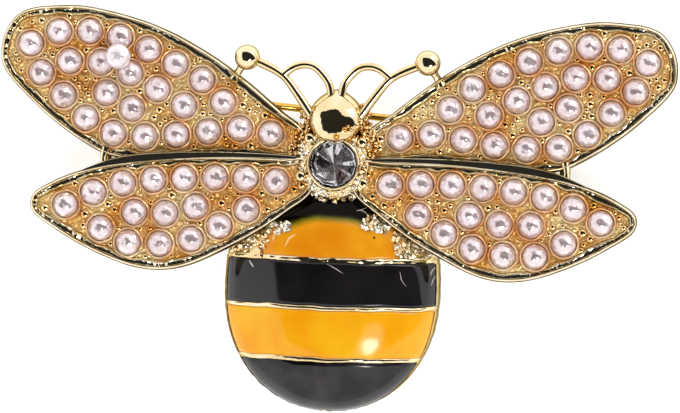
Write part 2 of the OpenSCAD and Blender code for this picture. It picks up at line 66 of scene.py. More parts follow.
# %% Grids of points
def surface(points, wrap_rows=False, wrap_cols=False):
    """A part, as vertices and quads, from a grid of points: each quad joins four neighbours."""
    points = np.asarray(points, float)
    rows, cols = points.shape[:2]
    i = np.arange(rows if wrap_rows else rows - 1)[:, None]
    j = np.arange(cols if wrap_cols else cols - 1)[None, :]
    this, below = i * cols, (i + 1) % rows * cols
    beside = (j + 1) % cols
    quads = np.stack([this + j, this + beside, below + beside, below + j], -1)
    return points.reshape(-1, 3), quads.reshape(-1, 4)


def capped(rings):
    """A stack of rings closed at both ends by the middle of its first and of its last ring."""
    ends = [np.broadcast_to(rings[k].mean(0), (1,) + rings.shape[1:]) for k in (0, -1)]
    return surface(np.concatenate([ends[0], rings, ends[1]]), wrap_cols=True)


def raised(flat, height):
    """Flat points (x, y) with a height added to each."""
    flat = np.asarray(flat, float)
    return np.concatenate([flat, np.broadcast_to(height, flat.shape[:-1])[..., None]], -1)


def joined(parts):
    """Several parts as one: vertices stacked, face numbers moved up by what came before."""
    starts = np.cumsum([0] + [len(v) for v, f in parts])
    faces = [f + start for (v, f), start in zip(parts, starts)]
    return np.concatenate([v for v, f in parts]), np.concatenate(faces)


def copies(part, places, scales=1.0):
    """The same small part once at each place, each copy with its own scale."""
    v, f = part
    places = np.asarray(places, float)
    scales = np.broadcast_to(scales, len(places))
    verts = v[None] * scales[:, None, None] + places[:, None]
    faces = f[None] + (np.arange(len(places)) * len(v))[:, None, None]
    return verts.reshape(-1, 3), faces.reshape(-1, 4)


print("a 3 by 4 grid has", len(surface(np.zeros((3, 4, 3)))[1]), "quads")

# %% [markdown]
# A piece is one or more parts in one mesh, each part with its own material. Every part could be
# an object, but one mesh keeps together what is one casting. Points that fall together are
# merged and the faces turned outwards. The piece then says which body it rides on, which solid
# it dresses and which material slot it fills.

# %% Parts into pieces
MERGE_MM, SHARP_DEGREES = 0.0005, 42


def make_piece(name, parts, replaces=("cast_body",), body=BODY):
    """A mesh object from (part, material) pairs in millimetres round the stone, with its frame calls."""
    parts = [(part, material) for part, material in parts if len(part[0])]
    verts, faces = joined([part for part, material in parts])
    index = np.repeat(np.arange(len(parts)), [len(part[1]) for part, material in parts])
    mesh = bpy.data.meshes.new(name)
    mesh.from_pydata(((verts + [0, SHIFT_Y, 0]) * MM).tolist(), [], faces.tolist())
    for part, material in parts:
        mesh.materials.append(material)
    mesh.polygons.foreach_set("material_index", index.astype(np.int32))
    work = bmesh.new()
    work.from_mesh(mesh)
    bmesh.ops.remove_doubles(work, verts=work.verts, dist=MERGE_MM * MM)
    bmesh.ops.dissolve_degenerate(work, edges=work.edges, dist=MERGE_MM * MM)
    bmesh.ops.recalc_face_normals(work, faces=work.faces)
    work.to_mesh(mesh)
    work.free()
    mesh.shade_smooth()
    mesh.set_sharp_from_angle(angle=math.radians(SHARP_DEGREES))
    piece = bpy.data.objects.new(name, mesh)
    bpy.context.scene.collection.objects.link(piece)
    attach(piece, body)
    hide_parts(*replaces)
    print(f"{name}: {len(mesh.vertices)} points, {len(mesh.polygons)} faces")
    return piece


# %% [markdown]
# A casting that was polished by hand isn't quite even: its faces rise and fall in gentle waves.
# A displacement modifier could add them. Here they are sums of sines, which can be worked out
# for any points at once, and each set has its own seed, so that every run gives the same.

# %% Waves
WAVES_PER_OCTAVE, LOUDNESS = 6, 4.5


def waves(x, y, pitch, seed, octaves=2):
    """Smooth noise between about -1 and 1: sines in random directions, each octave twice as fine."""
    rng = np.random.default_rng(seed)
    total = np.zeros_like(np.asarray(x, float) + np.asarray(y, float))
    for octave in range(octaves):
        size = pitch / 2 ** octave
        for _ in range(WAVES_PER_OCTAVE):
            angle, phase = rng.uniform(0, 2 * np.pi, 2)
            k = 2 * np.pi / (size * rng.uniform(0.75, 1.4))
            total = total + np.sin(k * (x * np.cos(angle) + y * np.sin(angle)) + phase) / 2 ** octave
    return total / LOUDNESS


def smooth_step(low, high, value):
    """0 below low, 1 above high, and an S curve between."""
    t = np.clip((value - low) / (high - low), 0, 1)
    return t * t * (3 - 2 * t)


def crumpled(part, depths, pitch, seed):
    """A part whose points are moved by waves, another set along each axis; one depth, or one per axis."""
    v, f = part
    x, y = v.T[:2]
    moves = [depth * waves(x, y, pitch, seed + k) for k, depth in enumerate(np.broadcast_to(depths, 3))]
    return v + np.stack(moves, -1), f


print("waves along 4 mm:", waves(np.arange(5.0), 0, 2.0, 1).round(2))

# %% [markdown]
# Outlines, wires and scratches follow smooth curves through a few corners. Blender's curve
# objects bend between handles; a cubic that passes through every corner needs only the corners,
# which can be read off the object one by one.

# %% Smooth curves
def between(a, b, c, d, steps):
    """Points from each b up to its c, bent by the neighbours a and d: the Catmull-Rom cubic."""
    a, b, c, d = (corners[:, None] for corners in (a, b, c, d))
    t = (np.arange(steps) / steps)[None, :, None]
    bend, twist = 2 * a - 5 * b + 4 * c - d, 3 * b - a - 3 * c + d
    points = 0.5 * (2 * b + (c - a) * t + bend * t ** 2 + twist * t ** 3)
    return points.reshape(-1, points.shape[-1])


def closed_curve(corners, steps):
    """A smooth curve through a ring of corners."""
    p = np.asarray(corners, float)
    return between(np.roll(p, 1, 0), p, np.roll(p, -1, 0), np.roll(p, -2, 0), steps)


def open_curve(corners, steps):
    """A smooth curve through corners with two free ends, each carried one step straight on."""
    p = np.asarray(corners, float)
    p = np.vstack([2 * p[0] - p[1], p, 2 * p[-1] - p[-2]])
    return np.vstack([between(p[:-3], p[1:-2], p[2:-1], p[3:], steps), p[-2]])


print("a bend through 3 corners in", len(open_curve([(0, 0), (1, 1), (2, 0)], 8)), "points")

# %% [markdown]
# The rest is made as at the bench: wire drawn along a curve, and turned parts, whose profile is
# carried round an axis as on a lathe. Bevelled curve objects and the Screw modifier do the same.
# As arrays the results can be joined, copied and crumpled like any other part.

# %% Turned parts and wires
def on_circle(angles):
    """Points of the unit circle at these angles."""
    return np.stack([np.cos(angles), np.sin(angles)], -1)


def revolved(profile, segments):
    """A profile of (radius, height) turned round the upright axis."""
    r, z = np.asarray(profile, float).T[:, :, None]
    circle = on_circle(2 * np.pi * np.arange(segments) / segments)
    return surface(raised(r[..., None] * circle, z), wrap_cols=True)


def ball(radius, segments, rings, squash=1.0):
    """A ball as a turned half circle, squashed from above."""
    lift = np.pi * (np.arange(rings + 1) / rings - 0.5)
    return revolved(radius * on_circle(lift) * [1, squash], segments)


def tube(path, radii, segments):
    """A round rod along a nearly level path: circles across its direction, each with its own radius."""
    path, radii = np.asarray(path, float), np.asarray(radii, float)
    heading = np.gradient(path, axis=0)
    heading /= np.linalg.norm(heading, axis=1, keepdims=True)
    across = np.stack([heading[:, 1], -heading[:, 0], np.zeros(len(path))], -1)
    across /= np.linalg.norm(across, axis=1, keepdims=True)
    up = np.cross(across, heading)
    turn = (2 * np.pi * np.arange(segments) / segments)[None, :, None]
    circle = across[:, None] * np.cos(turn) + up[:, None] * np.sin(turn)
    return capped(path[:, None] + radii[:, None, None] * circle)


print("a small ball has", len(ball(1.0, 10, 6)[1]), "faces")

# %% [markdown]
# A material starts from what the real one is, and is wired from nodes. They could be set up by
# hand in the shader editor. One small function adds a node with its settings and links, so that
# a finish reads like its recipe. Colours are the hex values a designer would pick on screen,
# turned into the linear light that the renderer adds up.

# %% Colours and nodes
def colour(code):
    """A hex colour such as '#F5A81A' as linear red, green, blue and alpha."""
    srgb = np.array([int(code[k:k + 2], 16) for k in (1, 3, 5)]) / 255
    linear = np.where(srgb <= 0.04045, srgb / 12.92, ((srgb + 0.055) / 1.055) ** 2.4)
    return (*linear.tolist(), 1.0)


def add_node(tree, kind, inputs=None, stops=(), **settings):
    """A node with its settings and, for a ramp, its stops as (position, hex colour). An input is a
    value, or another node's output, which is linked to it."""
    made = tree.nodes.new(kind)
    for key, value in settings.items():
        setattr(made, key, value)
    for k, (position, code) in enumerate(stops):
        marks = made.color_ramp.elements
        mark = marks[k] if k < 2 else marks.new(position)
        mark.position, mark.color = position, colour(code)
    for key, value in (inputs or {}).items():
        if isinstance(value, bpy.types.NodeSocket):
            tree.links.new(value, made.inputs[key])
        else:
            made.inputs[key].default_value = value
    return made


print("mid grey in linear light:", round(colour("#808080")[0], 3))

# %% [markdown]
# Nearly every finish here has a colour that drifts in blotches, and a skin that isn't quite
# flat. Painted images could give both, but noise on the object's own coordinates needs no
# unwrapping and takes its sizes in millimetres.

# %% Blotches and unevenness
def new_material(name, **sockets):
    """A material whose Principled shader holds these constants; a string is a hex colour."""
    material = bpy.data.materials.new(name)
    material.use_nodes = True
    shader = material.node_tree.nodes["Principled BSDF"]
    for key, value in sockets.items():
        if isinstance(value, str):
            value = colour(value)
        shader.inputs[key.replace("_", " ")].default_value = value
    return material, material.node_tree, shader


def mottled(name, size_mm, stops, **sockets):
    """A material whose colour runs through the stops in noise blotches about size_mm across, with
    the coordinates of the object that its patterns follow."""
    material, tree, shader = new_material(name, **sockets)
    place = add_node(tree, "ShaderNodeTexCoord").outputs["Object"]
    inputs = {"Vector": place, "Scale": 1 / (size_mm * MM), "Detail": 3.0}
    inputs = {"Fac": add_node(tree, "ShaderNodeTexNoise", inputs).outputs["Fac"]}
    tint = add_node(tree, "ShaderNodeValToRGB", inputs, stops).outputs["Color"]
    tree.links.new(tint, shader.inputs["Base Color"])
    return material, tree, shader, place


def uneven(tree, place, size_mm, depth_mm, detail, under=None):
    """A bumped normal: noise about size_mm across and depth_mm deep, over another bump if given."""
    inputs = {"Vector": place, "Scale": 1 / (size_mm * MM), "Detail": detail}
    swell = add_node(tree, "ShaderNodeTexNoise", inputs).outputs["Fac"]
    inputs = {"Height": swell, "Distance": depth_mm * MM, "Strength": 1.0}
    if under is not None:
        inputs["Normal"] = under
    return add_node(tree, "ShaderNodeBump", inputs).outputs["Normal"]


print("blotches 2.5 mm across take a noise scale of", round(1 / (2.5 * MM)))

# %% [markdown]
# Gilding is a thin bright layer of pale gold on cast zinc. A mirror is only as interesting as
# what it reflects, so the metal's own colour stays simple: what shows in the picture is the
# tent of light round it. Polishing leaves waves, which a bump adds, and the cups and the ground
# between the pearls keep a sandy cast skin under lacquer. Some finishes carry painted light: orange
# for the glow bounced round the cups, darker sides and an olive edge for shade, near-white grains
# for highlights. One recipe serves them all.

# %% Gilt finishes
# An olive tint at grazing angles: painted shade for the dark line round the gilt edges
PAINTED_OLIVE_EDGE = "#7A6A34"


def gilt(name, tint, shade, roughness, wave, grain, metallic=1.0):
    """Plated metal whose colour drifts between tint and shade. Soft waves and finer grain are given as
    (mm across, mm deep). A metallic below 1 stands for lacquer over a sandy skin, which scatters light
    as well as mirroring it. At a grazing angle the plating is tinted olive, a painted shade for the
    darker things its edges mirror."""
    material, tree, shader, place = mottled(name, 2.5, [(0.35, shade), (0.65, tint)], Metallic=metallic,
                                            Roughness=roughness, Specular_Tint=PAINTED_OLIVE_EDGE)
    low = uneven(tree, place, *wave, 1.0)
    tree.links.new(uneven(tree, place, *grain, 2.0, low), shader.inputs["Normal"])
    return material


# Polished domes and wires: nearly a mirror, which slow waves bend
polished_gilt = gilt("polished_gilding", "#F5E4BE", "#E6CD98", 0.08, (1.2, 0.014), (0.4, 0.006))
# Rims: as bright but paler, with closer waves that break the reflections up
rim_gilt = gilt("pale_polished_gilding_of_the_rims", "#F7EFDC", "#E4D6B2", 0.08, (0.7, 0.03), (0.3, 0.012))
# Outer sides: tumbled and never polished, so duller; their darker tone is painted shade for the dark line
# that the walls mirror
side_gilt = gilt("dull_gilding_of_the_sides_darkened_as_painted_shade", "#A89C7C", "#7E7452", 0.25, (1.0, 0.02), (0.2, 0.006))
# Cups and ground: apricot to orange in blotches, painted warm light for the glow bounced round the hollows,
# with a satin sheen
cup_gilt = gilt("gilding_of_the_cups_with_painted_bounce_glow", "#FFEAC4", "#F4B878", 0.2, (0.6, 0.04), (0.25, 0.01), 0.6)
ground_gilt = gilt("sandy_ground_with_painted_bounce_glow", "#F6DCA0", "#EBAE58", 0.22, (0.5, 0.40), (0.2, 0.05), 0.6)
# Grains: sparks from pale gold to orange; the pale set is near white, a painted highlight tone for white
# sparks
grain_gilt = gilt("gilded_grains", "#FFE8B4", "#DC9E4A", 0.12, (0.5, 0.03), (0.2, 0.006))
pale_grain_gilt = gilt("pale_gilded_grains", "#FFFFF6", "#FFDEA8", 0.26, (0.5, 0.06), (0.2, 0.012))
# Pin wire: drawn, smooth, and a deeper yellow than the casting
wire_gilt = gilt("gilded_pin_wire", "#E8BE62", "#D5A548", 0.2, (1.5, 0.01), (0.2, 0.004))
print("gilt finishes:", sum("gild" in material.name for material in bpy.data.materials))

# %% [markdown]
# The wings are trays: a rounded rim, a polished groove inside it, and a sandy ground that
# carries one cup per pearl. Their outline could be drawn by hand as a curve object. Here it is a
# table of half-breadths along the wing, because the front and rear edges then come in pairs,
# and the middle of each pair gives the line where the two halves of the tray meet.

# %% Wing tables
# Columns of an outline: along, as a share of the length; ahead of and behind the middle line,
# as shares of the breadth
FORE = {
    "length": 28.7, "breadth": 12.7, "sweep": 16.0, "root": (3.0, 1.6), "lift": 2.7,
    "outline": [(0.00, 0.095, 0.105), (0.10, 0.193, 0.172), (0.22, 0.308, 0.255), (0.34, 0.402, 0.345),
                (0.46, 0.466, 0.445), (0.53, 0.489, 0.487), (0.60, 0.500, 0.493), (0.70, 0.494, 0.440),
                (0.80, 0.467, 0.359), (0.89, 0.403, 0.260), (0.955, 0.336, 0.174), (0.994, 0.246, 0.080)],
    "tip": (1.011, 0.085),
}
HIND = {
    "length": 25.8, "breadth": 10.1, "sweep": -7.8, "root": (2.0, -1.0), "lift": 3.4,
    "outline": [(0.00, 0.135, 0.149), (0.10, 0.175, 0.322), (0.22, 0.218, 0.480), (0.34, 0.252, 0.602),
                (0.46, 0.277, 0.698), (0.56, 0.284, 0.718), (0.66, 0.285, 0.663), (0.76, 0.269, 0.540),
                (0.85, 0.228, 0.396), (0.92, 0.171, 0.257), (0.972, 0.112, 0.145), (0.992, 0.062, 0.082)],
    "tip": (1.00, -0.008),
}
print("fore wing", FORE["length"], "mm long, hind wing", HIND["length"], "mm long")

# %% [markdown]
# Each wing is worked out lying along x, and only the finished surface is turned, moved and
# mirrored into its place. An object's own rotation could do that, but pieces keep their place in
# the mesh here, and one set of tables then serves both sides.

# %% Wing outlines
OUTLINE_STEPS = 12


def wing_outline(wing):
    """The closed outline in the wing's own frame, and for each point its partner on the other edge."""
    size = np.array([wing["length"], wing["breadth"]])
    table = np.array(wing["outline"])
    corners = np.vstack([table[:, [0, 1]] * size, wing["tip"] * size, table[::-1, [0, 2]] * size * [1, -1]])
    curve = closed_curve(corners, OUTLINE_STEPS)
    partner = (2 * len(table) * OUTLINE_STEPS - np.arange(len(curve))) % len(curve)
    return curve, curve[partner]


def inward_normals(curve):
    """Unit vectors across a ring of points, towards its inside."""
    along = np.roll(curve, -1, 0) - np.roll(curve, 1, 0)
    return np.stack([along[:, 1], -along[:, 0]], -1) / np.linalg.norm(along, axis=1, keepdims=True)


def into_place(points, wing, side):
    """From a wing's own frame to the brooch's: turn by the sweep, move to the root, mirror a left wing."""
    a = math.radians(wing["sweep"])
    x, y, z = points[..., 0], points[..., 1], points[..., 2]
    placed = np.stack([x * math.cos(a) - y * math.sin(a) + wing["root"][0],
                       x * math.sin(a) + y * math.cos(a) + wing["root"][1], z + wing["lift"]], -1)
    return placed * [side, 1, 1]


def into_own_frame(points, wing):
    """The way back, for flat places on a right wing: take the root off and undo the sweep."""
    a = math.radians(wing["sweep"])
    return (points - wing["root"]) @ np.array([[math.cos(a), -math.sin(a)], [math.sin(a), math.cos(a)]])


for wing in (FORE, HIND):
    wing["curve"], wing["partner"] = wing_outline(wing)
    wing["inward"] = inward_normals(wing["curve"])
    print("outline of", len(wing["curve"]), "points")

# %% [markdown]
# The pearls' places needn't be typed again: each CAD field holds one loose solid per pearl, so
# the middles of its islands are the places. Blender could split the mesh by loose parts. Here
# islands are found on a copy of the points, by giving points that share an edge the lower of
# their labels until nothing changes, and the CAD node stays untouched.

# %% Pearl places from the frame
def island_middles(node):
    """Middle of each loose solid of a CAD node, in millimetres round the stone."""
    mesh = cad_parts[node].data
    co = np.empty(len(mesh.vertices) * 3)
    mesh.vertices.foreach_get("co", co)
    co = co.reshape(-1, 3) / MM - [0, SHIFT_Y, 0]
    key = np.unique(np.round(co, 4), axis=0, return_inverse=True)[1].ravel()
    edges = np.empty(len(mesh.edges) * 2, np.int32)
    mesh.edges.foreach_get("vertices", edges)
    ends = key[edges.reshape(-1, 2)]
    label = np.arange(key.max() + 1)
    before = None
    while not np.array_equal(before, label):
        before = label.copy()
        low = np.minimum(label[ends[:, 0]], label[ends[:, 1]])
        np.minimum.at(label, ends[:, 0], low)
        np.minimum.at(label, ends[:, 1], low)
        label = label[label]
    owner = label[key]
    return np.array([(co[owner == k].min(0) + co[owner == k].max(0)) / 2 for k in np.unique(owner)])


PEARL_R, PEARL_H = 1.15, 1.6
FIELDS = {"fore_right": (FORE, 1), "fore_left": (FORE, -1), "hind_right": (HIND, 1), "hind_left": (HIND, -1)}
seats = {key: island_middles("pearls_" + key) for key in FIELDS}
for key, places in seats.items():
    places[:, 2] += PEARL_H / 2 - PEARL_R
    print(key, len(places), "pearls")

# %% [markdown]
# The tray's surface runs from the middle of its underside out to the edge, up the wall, over
# the rounded rim, down into the groove, over a thin inner line and across the ground to the
# middle again. It could be bevelled from a flat plate. A typed profile gives the groove and its
# line their real breadths, and a second one gives the cup that is turned round each pearl.

# %% Profiles of tray and cup
# Columns: distance inwards from the outline, height above the wing's underside
RIM = [(0.00, 0.00), (0.00, 0.50), (0.00, 1.05), (0.01, 1.22), (0.03, 1.37), (0.07, 1.50), (0.125, 1.61),
       (0.185, 1.68), (0.235, 1.70), (0.275, 1.66), (0.30, 1.56), (0.315, 1.35), (0.335, 1.17), (0.36, 1.12),
       (0.38, 1.09), (0.43, 1.09), (0.49, 1.09), (0.51, 1.10), (0.535, 1.14), (0.57, 1.21), (0.61, 1.24),
       (0.65, 1.21), (0.69, 1.10), (0.72, 0.98)]
# The first rows are the outer wall, and the last ones the inner line, which wanders more
SIDE_ROWS, LINE_ROWS, GROUND_ROWS, UNDER_ROWS = 7, 8, 44, 3
RIM_WANDER, LINE_WANDER, GROOVE_WAVES, LINE_INSET, WING_FLOOR = 0.008, 0.07, 0.09, 0.61, 0.9
# The sandy ground lies this far above the wing's floor, and rises and falls by this much
SAND, SAND_WAVES = 0.14, 0.08
# Columns: radius, height above the floor; from the outer foot over the crest to the pearl
CUP = [(1.48, -0.10), (1.46, 0.15), (1.43, 0.32), (1.39, 0.44), (1.34, 0.51), (1.29, 0.54), (1.24, 0.52),
       (1.19, 0.45), (1.155, 0.36), (1.155, -0.10)]
CUP_FOOT, CUP_SHOULDER = CUP[0][0], CUP[4][0]
print("rim profile of", len(RIM), "points, cup profile of", len(CUP))

# %% [markdown]
# On the real wing the inner line bulges into the gaps between the cups, and the groove glints
# here and there. Both could be sculpted. Carried round the outline as one grid, the line can
# step inwards by a share of the room to the nearest cup, and the groove's floor can rise and
# fall in waves.

# %% Wing walls
def scallops(key, most=0.6, share=0.4):
    """How much further in the inner line lies at each outline point: a share of the room to the
    nearest cup, fading out at the narrow root and tip."""
    wing, side = FIELDS[key]
    cups = into_own_frame(seats[key][:, :2] * [side, 1], wing)
    line = wing["curve"] + wing["inward"] * LINE_INSET
    room = np.linalg.norm(line[:, None] - cups[None], axis=2).min(1) - CUP_FOOT
    x = wing["curve"][:, 0]
    ends = smooth_step(1.5, 5.0, x) * smooth_step(wing["length"] - 0.6, wing["length"] - 3.0, x)
    return share * np.clip(room, 0, most) * ends


def tray_wall(key, seed):
    """Side, rim, groove and inner line: the profile carried along the outline's inward normals."""
    wing = FIELDS[key][0]
    across, height = np.array(RIM).T
    in_line = np.arange(len(RIM)) >= len(RIM) - LINE_ROWS
    wander = np.where(in_line, LINE_WANDER, RIM_WANDER) * waves(*wing["curve"].T, 1.4, seed)[:, None]
    inset = across + wander * (across > 0.1) + scallops(key)[:, None] * smooth_step(0.40, 0.49, across)
    in_groove = smooth_step(0.33, 0.38, across) * smooth_step(0.72, 0.66, across)
    swell = GROOVE_WAVES * waves(*wing["curve"].T, 0.9, seed + 9, 1)[:, None] * in_groove
    return raised(wing["curve"][:, None] + wing["inward"][:, None] * inset[..., None], height + swell)


print("the inner line bulges by up to", round(float(scallops("fore_right").max()), 2), "mm")

# %% [markdown]
# The ground is sandy and nearly flat. One flat face could fill it. As rows that run from the
# wall's foot to a line between the two edges it can be uneven, and the underside is closed in
# the same way. The cups are one turned collar, copied to every pearl and crumpled a little.

# %% Wing grounds and cups
# How near the ground's middle line comes to the root's and to the tip's end
ROOT_END, TIP_END = 1.4, 2.2


def middle_line(wing):
    """For each outline point, the place between the two edges that its row of the ground runs to."""
    middle = (wing["curve"] + wing["partner"]) / 2
    order = np.argsort(middle[:, 0])
    x = np.clip(middle[:, 0], ROOT_END, wing["length"] - TIP_END)
    return np.stack([x, np.interp(x, middle[order, 0], middle[order, 1])], -1)


def wing_tray(key, seed):
    """Three grids: the side with the flat underside, the rim, and the ground, which is drawn straight
    from the wall's foot to the middle line."""
    wing, side = FIELDS[key]
    wall, middle = tray_wall(key, seed), middle_line(wing)
    edge = wall[:, -1, :2]
    share = np.linspace(0, 1, GROUND_ROWS + 1)[1:, None]
    ground = edge[:, None] + (middle - edge)[:, None] * share[None]
    fade = np.clip(share[None, :, 0] * GROUND_ROWS / 3, 0, 1)
    swell = fade * SAND_WAVES * waves(ground[..., 0], ground[..., 1], 0.9, seed)
    ground = raised(ground, WING_FLOOR + SAND + swell)
    back = np.linspace(1, 0, UNDER_ROWS + 1)[None, :-1, None]
    under = raised(wing["curve"][:, None] + (middle - wing["curve"])[:, None] * back, 0)
    grids = [np.concatenate([under, wall[:, :SIDE_ROWS]], 1), wall[:, SIDE_ROWS - 1:],
             np.concatenate([wall[:, -1:], ground], 1)]
    return [surface(into_place(grid, wing, side), wrap_rows=True) for grid in grids]


def wing_cups(key):
    """One turned collar round each pearl, standing on the wing's floor and a little uneven."""
    feet = raised(seats[key][:, :2], FIELDS[key][0]["lift"] + WING_FLOOR)
    return crumpled(copies(revolved(CUP + CUP[:1], 36), feet), (0.03, 0.03, 0.07), 1.1, 71)


print("cups of a fore wing:", len(wing_cups("fore_right")[1]), "faces")

# %% [markdown]
# Between the cups the founder left small balls: in the crotch beside each pair of close cups,
# and in clusters where there is room. They could be placed one by one. A sieve does it by rule:
# candidates are kept where they are clear of every cup, of the rim and of the balls kept before.

# %% Sieve
def inside(points, outline):
    """Even-odd rule: a point is inside if a ray from it crosses the outline an odd number of times."""
    p, q = outline[None], np.roll(outline, -1, 0)[None]
    x, y = points[:, None, 0], points[:, None, 1]
    crosses = (p[..., 1] > y) != (q[..., 1] > y)
    with np.errstate(divide="ignore", invalid="ignore"):
        at = p[..., 0] + (y - p[..., 1]) * (q[..., 0] - p[..., 0]) / (q[..., 1] - p[..., 1])
    return (crosses & (x < at)).sum(1) % 2 == 1


def sieve(places, radii, closeness):
    """The balls to keep: each is clear of those kept before it, by this share of both radii."""
    kept = []
    for k in range(len(places)):
        if all(np.hypot(*(places[k] - places[m])) > (radii[k] + radii[m]) * closeness for m in kept):
            kept.append(k)
    return places[kept], radii[kept]


def crotches(cups, reach):
    """The two places at this reach from both cups of each close pair."""
    i, j = np.triu_indices(len(cups), 1)
    half = (cups[j] - cups[i]) / 2
    h = np.linalg.norm(half, axis=1)
    near = h < reach * 0.97
    half, h, mid = half[near], h[near], (cups[i] + cups[j])[near] / 2
    out = np.stack([-half[:, 1], half[:, 0]], -1) / h[:, None] * np.sqrt(reach ** 2 - h ** 2)[:, None]
    return np.vstack([mid + out, mid - out])


print("crotches of two cups 2 mm apart:", crotches(np.array([(0.0, 0.0), (2.0, 0.0)]), 1.5).round(2).tolist())

# %% [markdown]
# With the balls each wing is complete: one piece of five parts, from the dull outer side to the
# bright balls. Geometry nodes could scatter them. Here the crotches go through the sieve first,
# so that they are filled as on the real wing, and a seed for each wing fixes the rest.

# %% Balls between the cups
BALL_SIZES, BALL_LIFT = (0.26, 0.44), 0.26


def balls_in_the_gaps(key, seed):
    """Places and radii of the balls on a wing: crotches first, then a fine jittered lattice."""
    wing, side = FIELDS[key]
    rng = np.random.default_rng(seed)
    cups = seats[key][:, :2] * [side, 1]
    lattice = np.stack(np.meshgrid(np.arange(-2, 34, 0.5), np.arange(-14, 16, 0.5)), -1).reshape(-1, 2)
    lattice = lattice + rng.uniform(-0.18, 0.18, lattice.shape)
    places = np.vstack([crotches(cups, CUP_SHOULDER + 0.27), lattice])
    radii = rng.uniform(*BALL_SIZES, len(places))
    local = into_own_frame(places, wing)
    edge = np.linalg.norm(local[:, None] - wing["curve"][None], axis=2).min(1)
    clear = np.linalg.norm(places[:, None] - cups[None], axis=2).min(1)
    good = inside(local, wing["curve"]) & (edge > RIM[-1][0] + radii * 0.8)
    good = good & (clear > CUP_SHOULDER + radii * 0.85)
    places, radii = sieve(places[good], radii[good], 0.98)
    return raised(places * [side, 1], wing["lift"] + WING_FLOOR + BALL_LIFT), radii


def balls(places, radii, squash=0.5):
    """Flattened balls of few faces: one unit ball, scaled and moved to each place."""
    return copies(ball(1.0, 10, 6, squash), places, radii)


for number, key in enumerate(FIELDS):
    parts = [*wing_tray(key, 40 + number), wing_cups(key), balls(*balls_in_the_gaps(key, 60 + number))]
    make_piece("wing_" + key, zip(parts, [side_gilt, rim_gilt, ground_gilt, cup_gilt, grain_gilt]))

# %% [markdown]
# Acrylic pearls are moulded beads dipped in a varnish of mica flakes. The flakes lie flat, so the
# skin mirrors like a soft metal, which is why every pearl shows a dark pupil: the opening of the
# tent. A rosy body shows through the flakes. Sheen or subsurface light alone would leave out the
# pupil, so the body is part metal under a coat whose high index mirrors strongly. Its dents are
# drawn a little coarser than real ones, so that they show.

# %% Pearls
def pearl_finish(name, body, blush, metallic):
    """A milky body that light soaks into, part metal, under a mirroring skin of mica."""
    material, tree, shader, place = mottled(
        name, 1.3, [(0.35, blush), (0.62, body)], Metallic=metallic, Roughness=0.28, Coat_Weight=1.0,
        Coat_Roughness=0.1, Coat_IOR=2.9, Subsurface_Weight=0.4, Subsurface_Scale=0.4 * MM,
        Subsurface_Radius=(1.0, 0.7, 0.6))
    dents = uneven(tree, place, 0.7, 0.20, 1.5)
    for socket in ("Normal", "Coat Normal"):
        tree.links.new(dents, shader.inputs[socket])
    return material


def flat_backed_pearl():
    """A disc for the back, and an arc from its edge up to the top, turned together."""
    back = PEARL_H - PEARL_R
    low = -math.asin(back / PEARL_R)
    arc = low + (math.pi / 2 - low) * np.linspace(0, 1, 15)
    return revolved(np.vstack([[0, -back], PEARL_R * on_circle(arc)]), 32)


pink_pearl = pearl_finish("pearl_varnish", "#EEDDE2", "#D8BCBC", 0.52)
white_pearl = pearl_finish("white_pearl_varnish", "#F6ECF0", "#EADCE0", 0.1)
for key in FIELDS:
    pearls = copies(flat_backed_pearl(), seats[key])
    make_piece("pearl_set_" + key, [(pearls, pink_pearl)], ["pearls_" + key])

stray_low, stray_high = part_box("stray_pearl")
stray_middle = (np.array(stray_low) + np.array(stray_high)) / 2 / MM - [0, SHIFT_Y, 0]
stray = copies(ball(PEARL_R, 48, 32), [stray_middle])
make_piece("stray_round_pearl", [(stray, white_pearl)], ["stray_pearl"])

# %% [markdown]
# The abdomen is a domed casting with sunk cells for the enamel. It could be a squashed ball cut
# with booleans. Instead its shape is a function of two angles: the turn from head to tail, and
# the lift across from left to right. A third number, the inset, peels the dome like an onion, so
# the same function gives the outside, the cell floors, the enamel and the hollow.

# %% The dome
# Width, how far behind the stone the widest place lies, and the reach ahead of it and behind it
WIDTH, MIDDLE_Y, FORE_REACH, AFT_REACH = 19.7, 11.5, 10.3, 11.0
FORE_SQUARENESS, AFT_SQUARENESS = 2.6, 2.1
# The side wall's height, the dome's rise above it, and how far its rows bow towards the tail
SIDE, RISE, BOW = 1.2, 4.9, 0.3
RISE_POWER, CROSS_POWER = 0.8, 0.9
# Depth of a cell, thickness of the shell, and how far a ridge wanders
CELL, HOLLOW, WARP = 0.5, 1.3, 0.07
# Breadth of a ridge, and the places of the three as shares of the abdomen's length
RIDGE, RIDGES = 0.34, [0.337, 0.543, 0.766]


def half_share(turn):
    """Half the width at a turn, as a share of the widest: a superellipse, squarer ahead than behind."""
    n = np.where(np.cos(turn) > 0, FORE_SQUARENESS, AFT_SQUARENESS)
    return np.clip(1 - np.abs(np.cos(turn)) ** n, 0, 1) ** (1 / n)


def dome(turn, lift, inset, warp=0.0):
    """x by the cosine of the lift, y by the cosine of the turn, z by both sines, each with the inset
    taken off. Ridges bow, and wander by a small warp along y."""
    s, c = np.sin(turn), np.cos(turn)
    half = (WIDTH / 2 - inset) * half_share(turn)
    reach = np.where(c > 0, FORE_REACH, AFT_REACH) - inset
    x = -half * np.cos(lift)
    y = c * reach - MIDDLE_Y - BOW * s * np.sin(lift)
    z = SIDE + (RISE - inset) * s ** RISE_POWER * np.abs(np.sin(lift)) ** CROSS_POWER
    y = y + warp * s * waves(x, y, 4.0, 5)
    return np.stack(np.broadcast_arrays(x, y, z), -1)


print("the dome's top is at", dome(math.pi / 2, math.pi / 2, 0).round(2), "mm")

# %% [markdown]
# Cells, grains and scratches are given by their places as seen from above, so the way back is
# needed too: from a y to its turn, and from a place to the dome's height. Rays cast on the mesh
# would give it. Undoing the dome's formula needs no mesh, and three rounds of it come near enough.

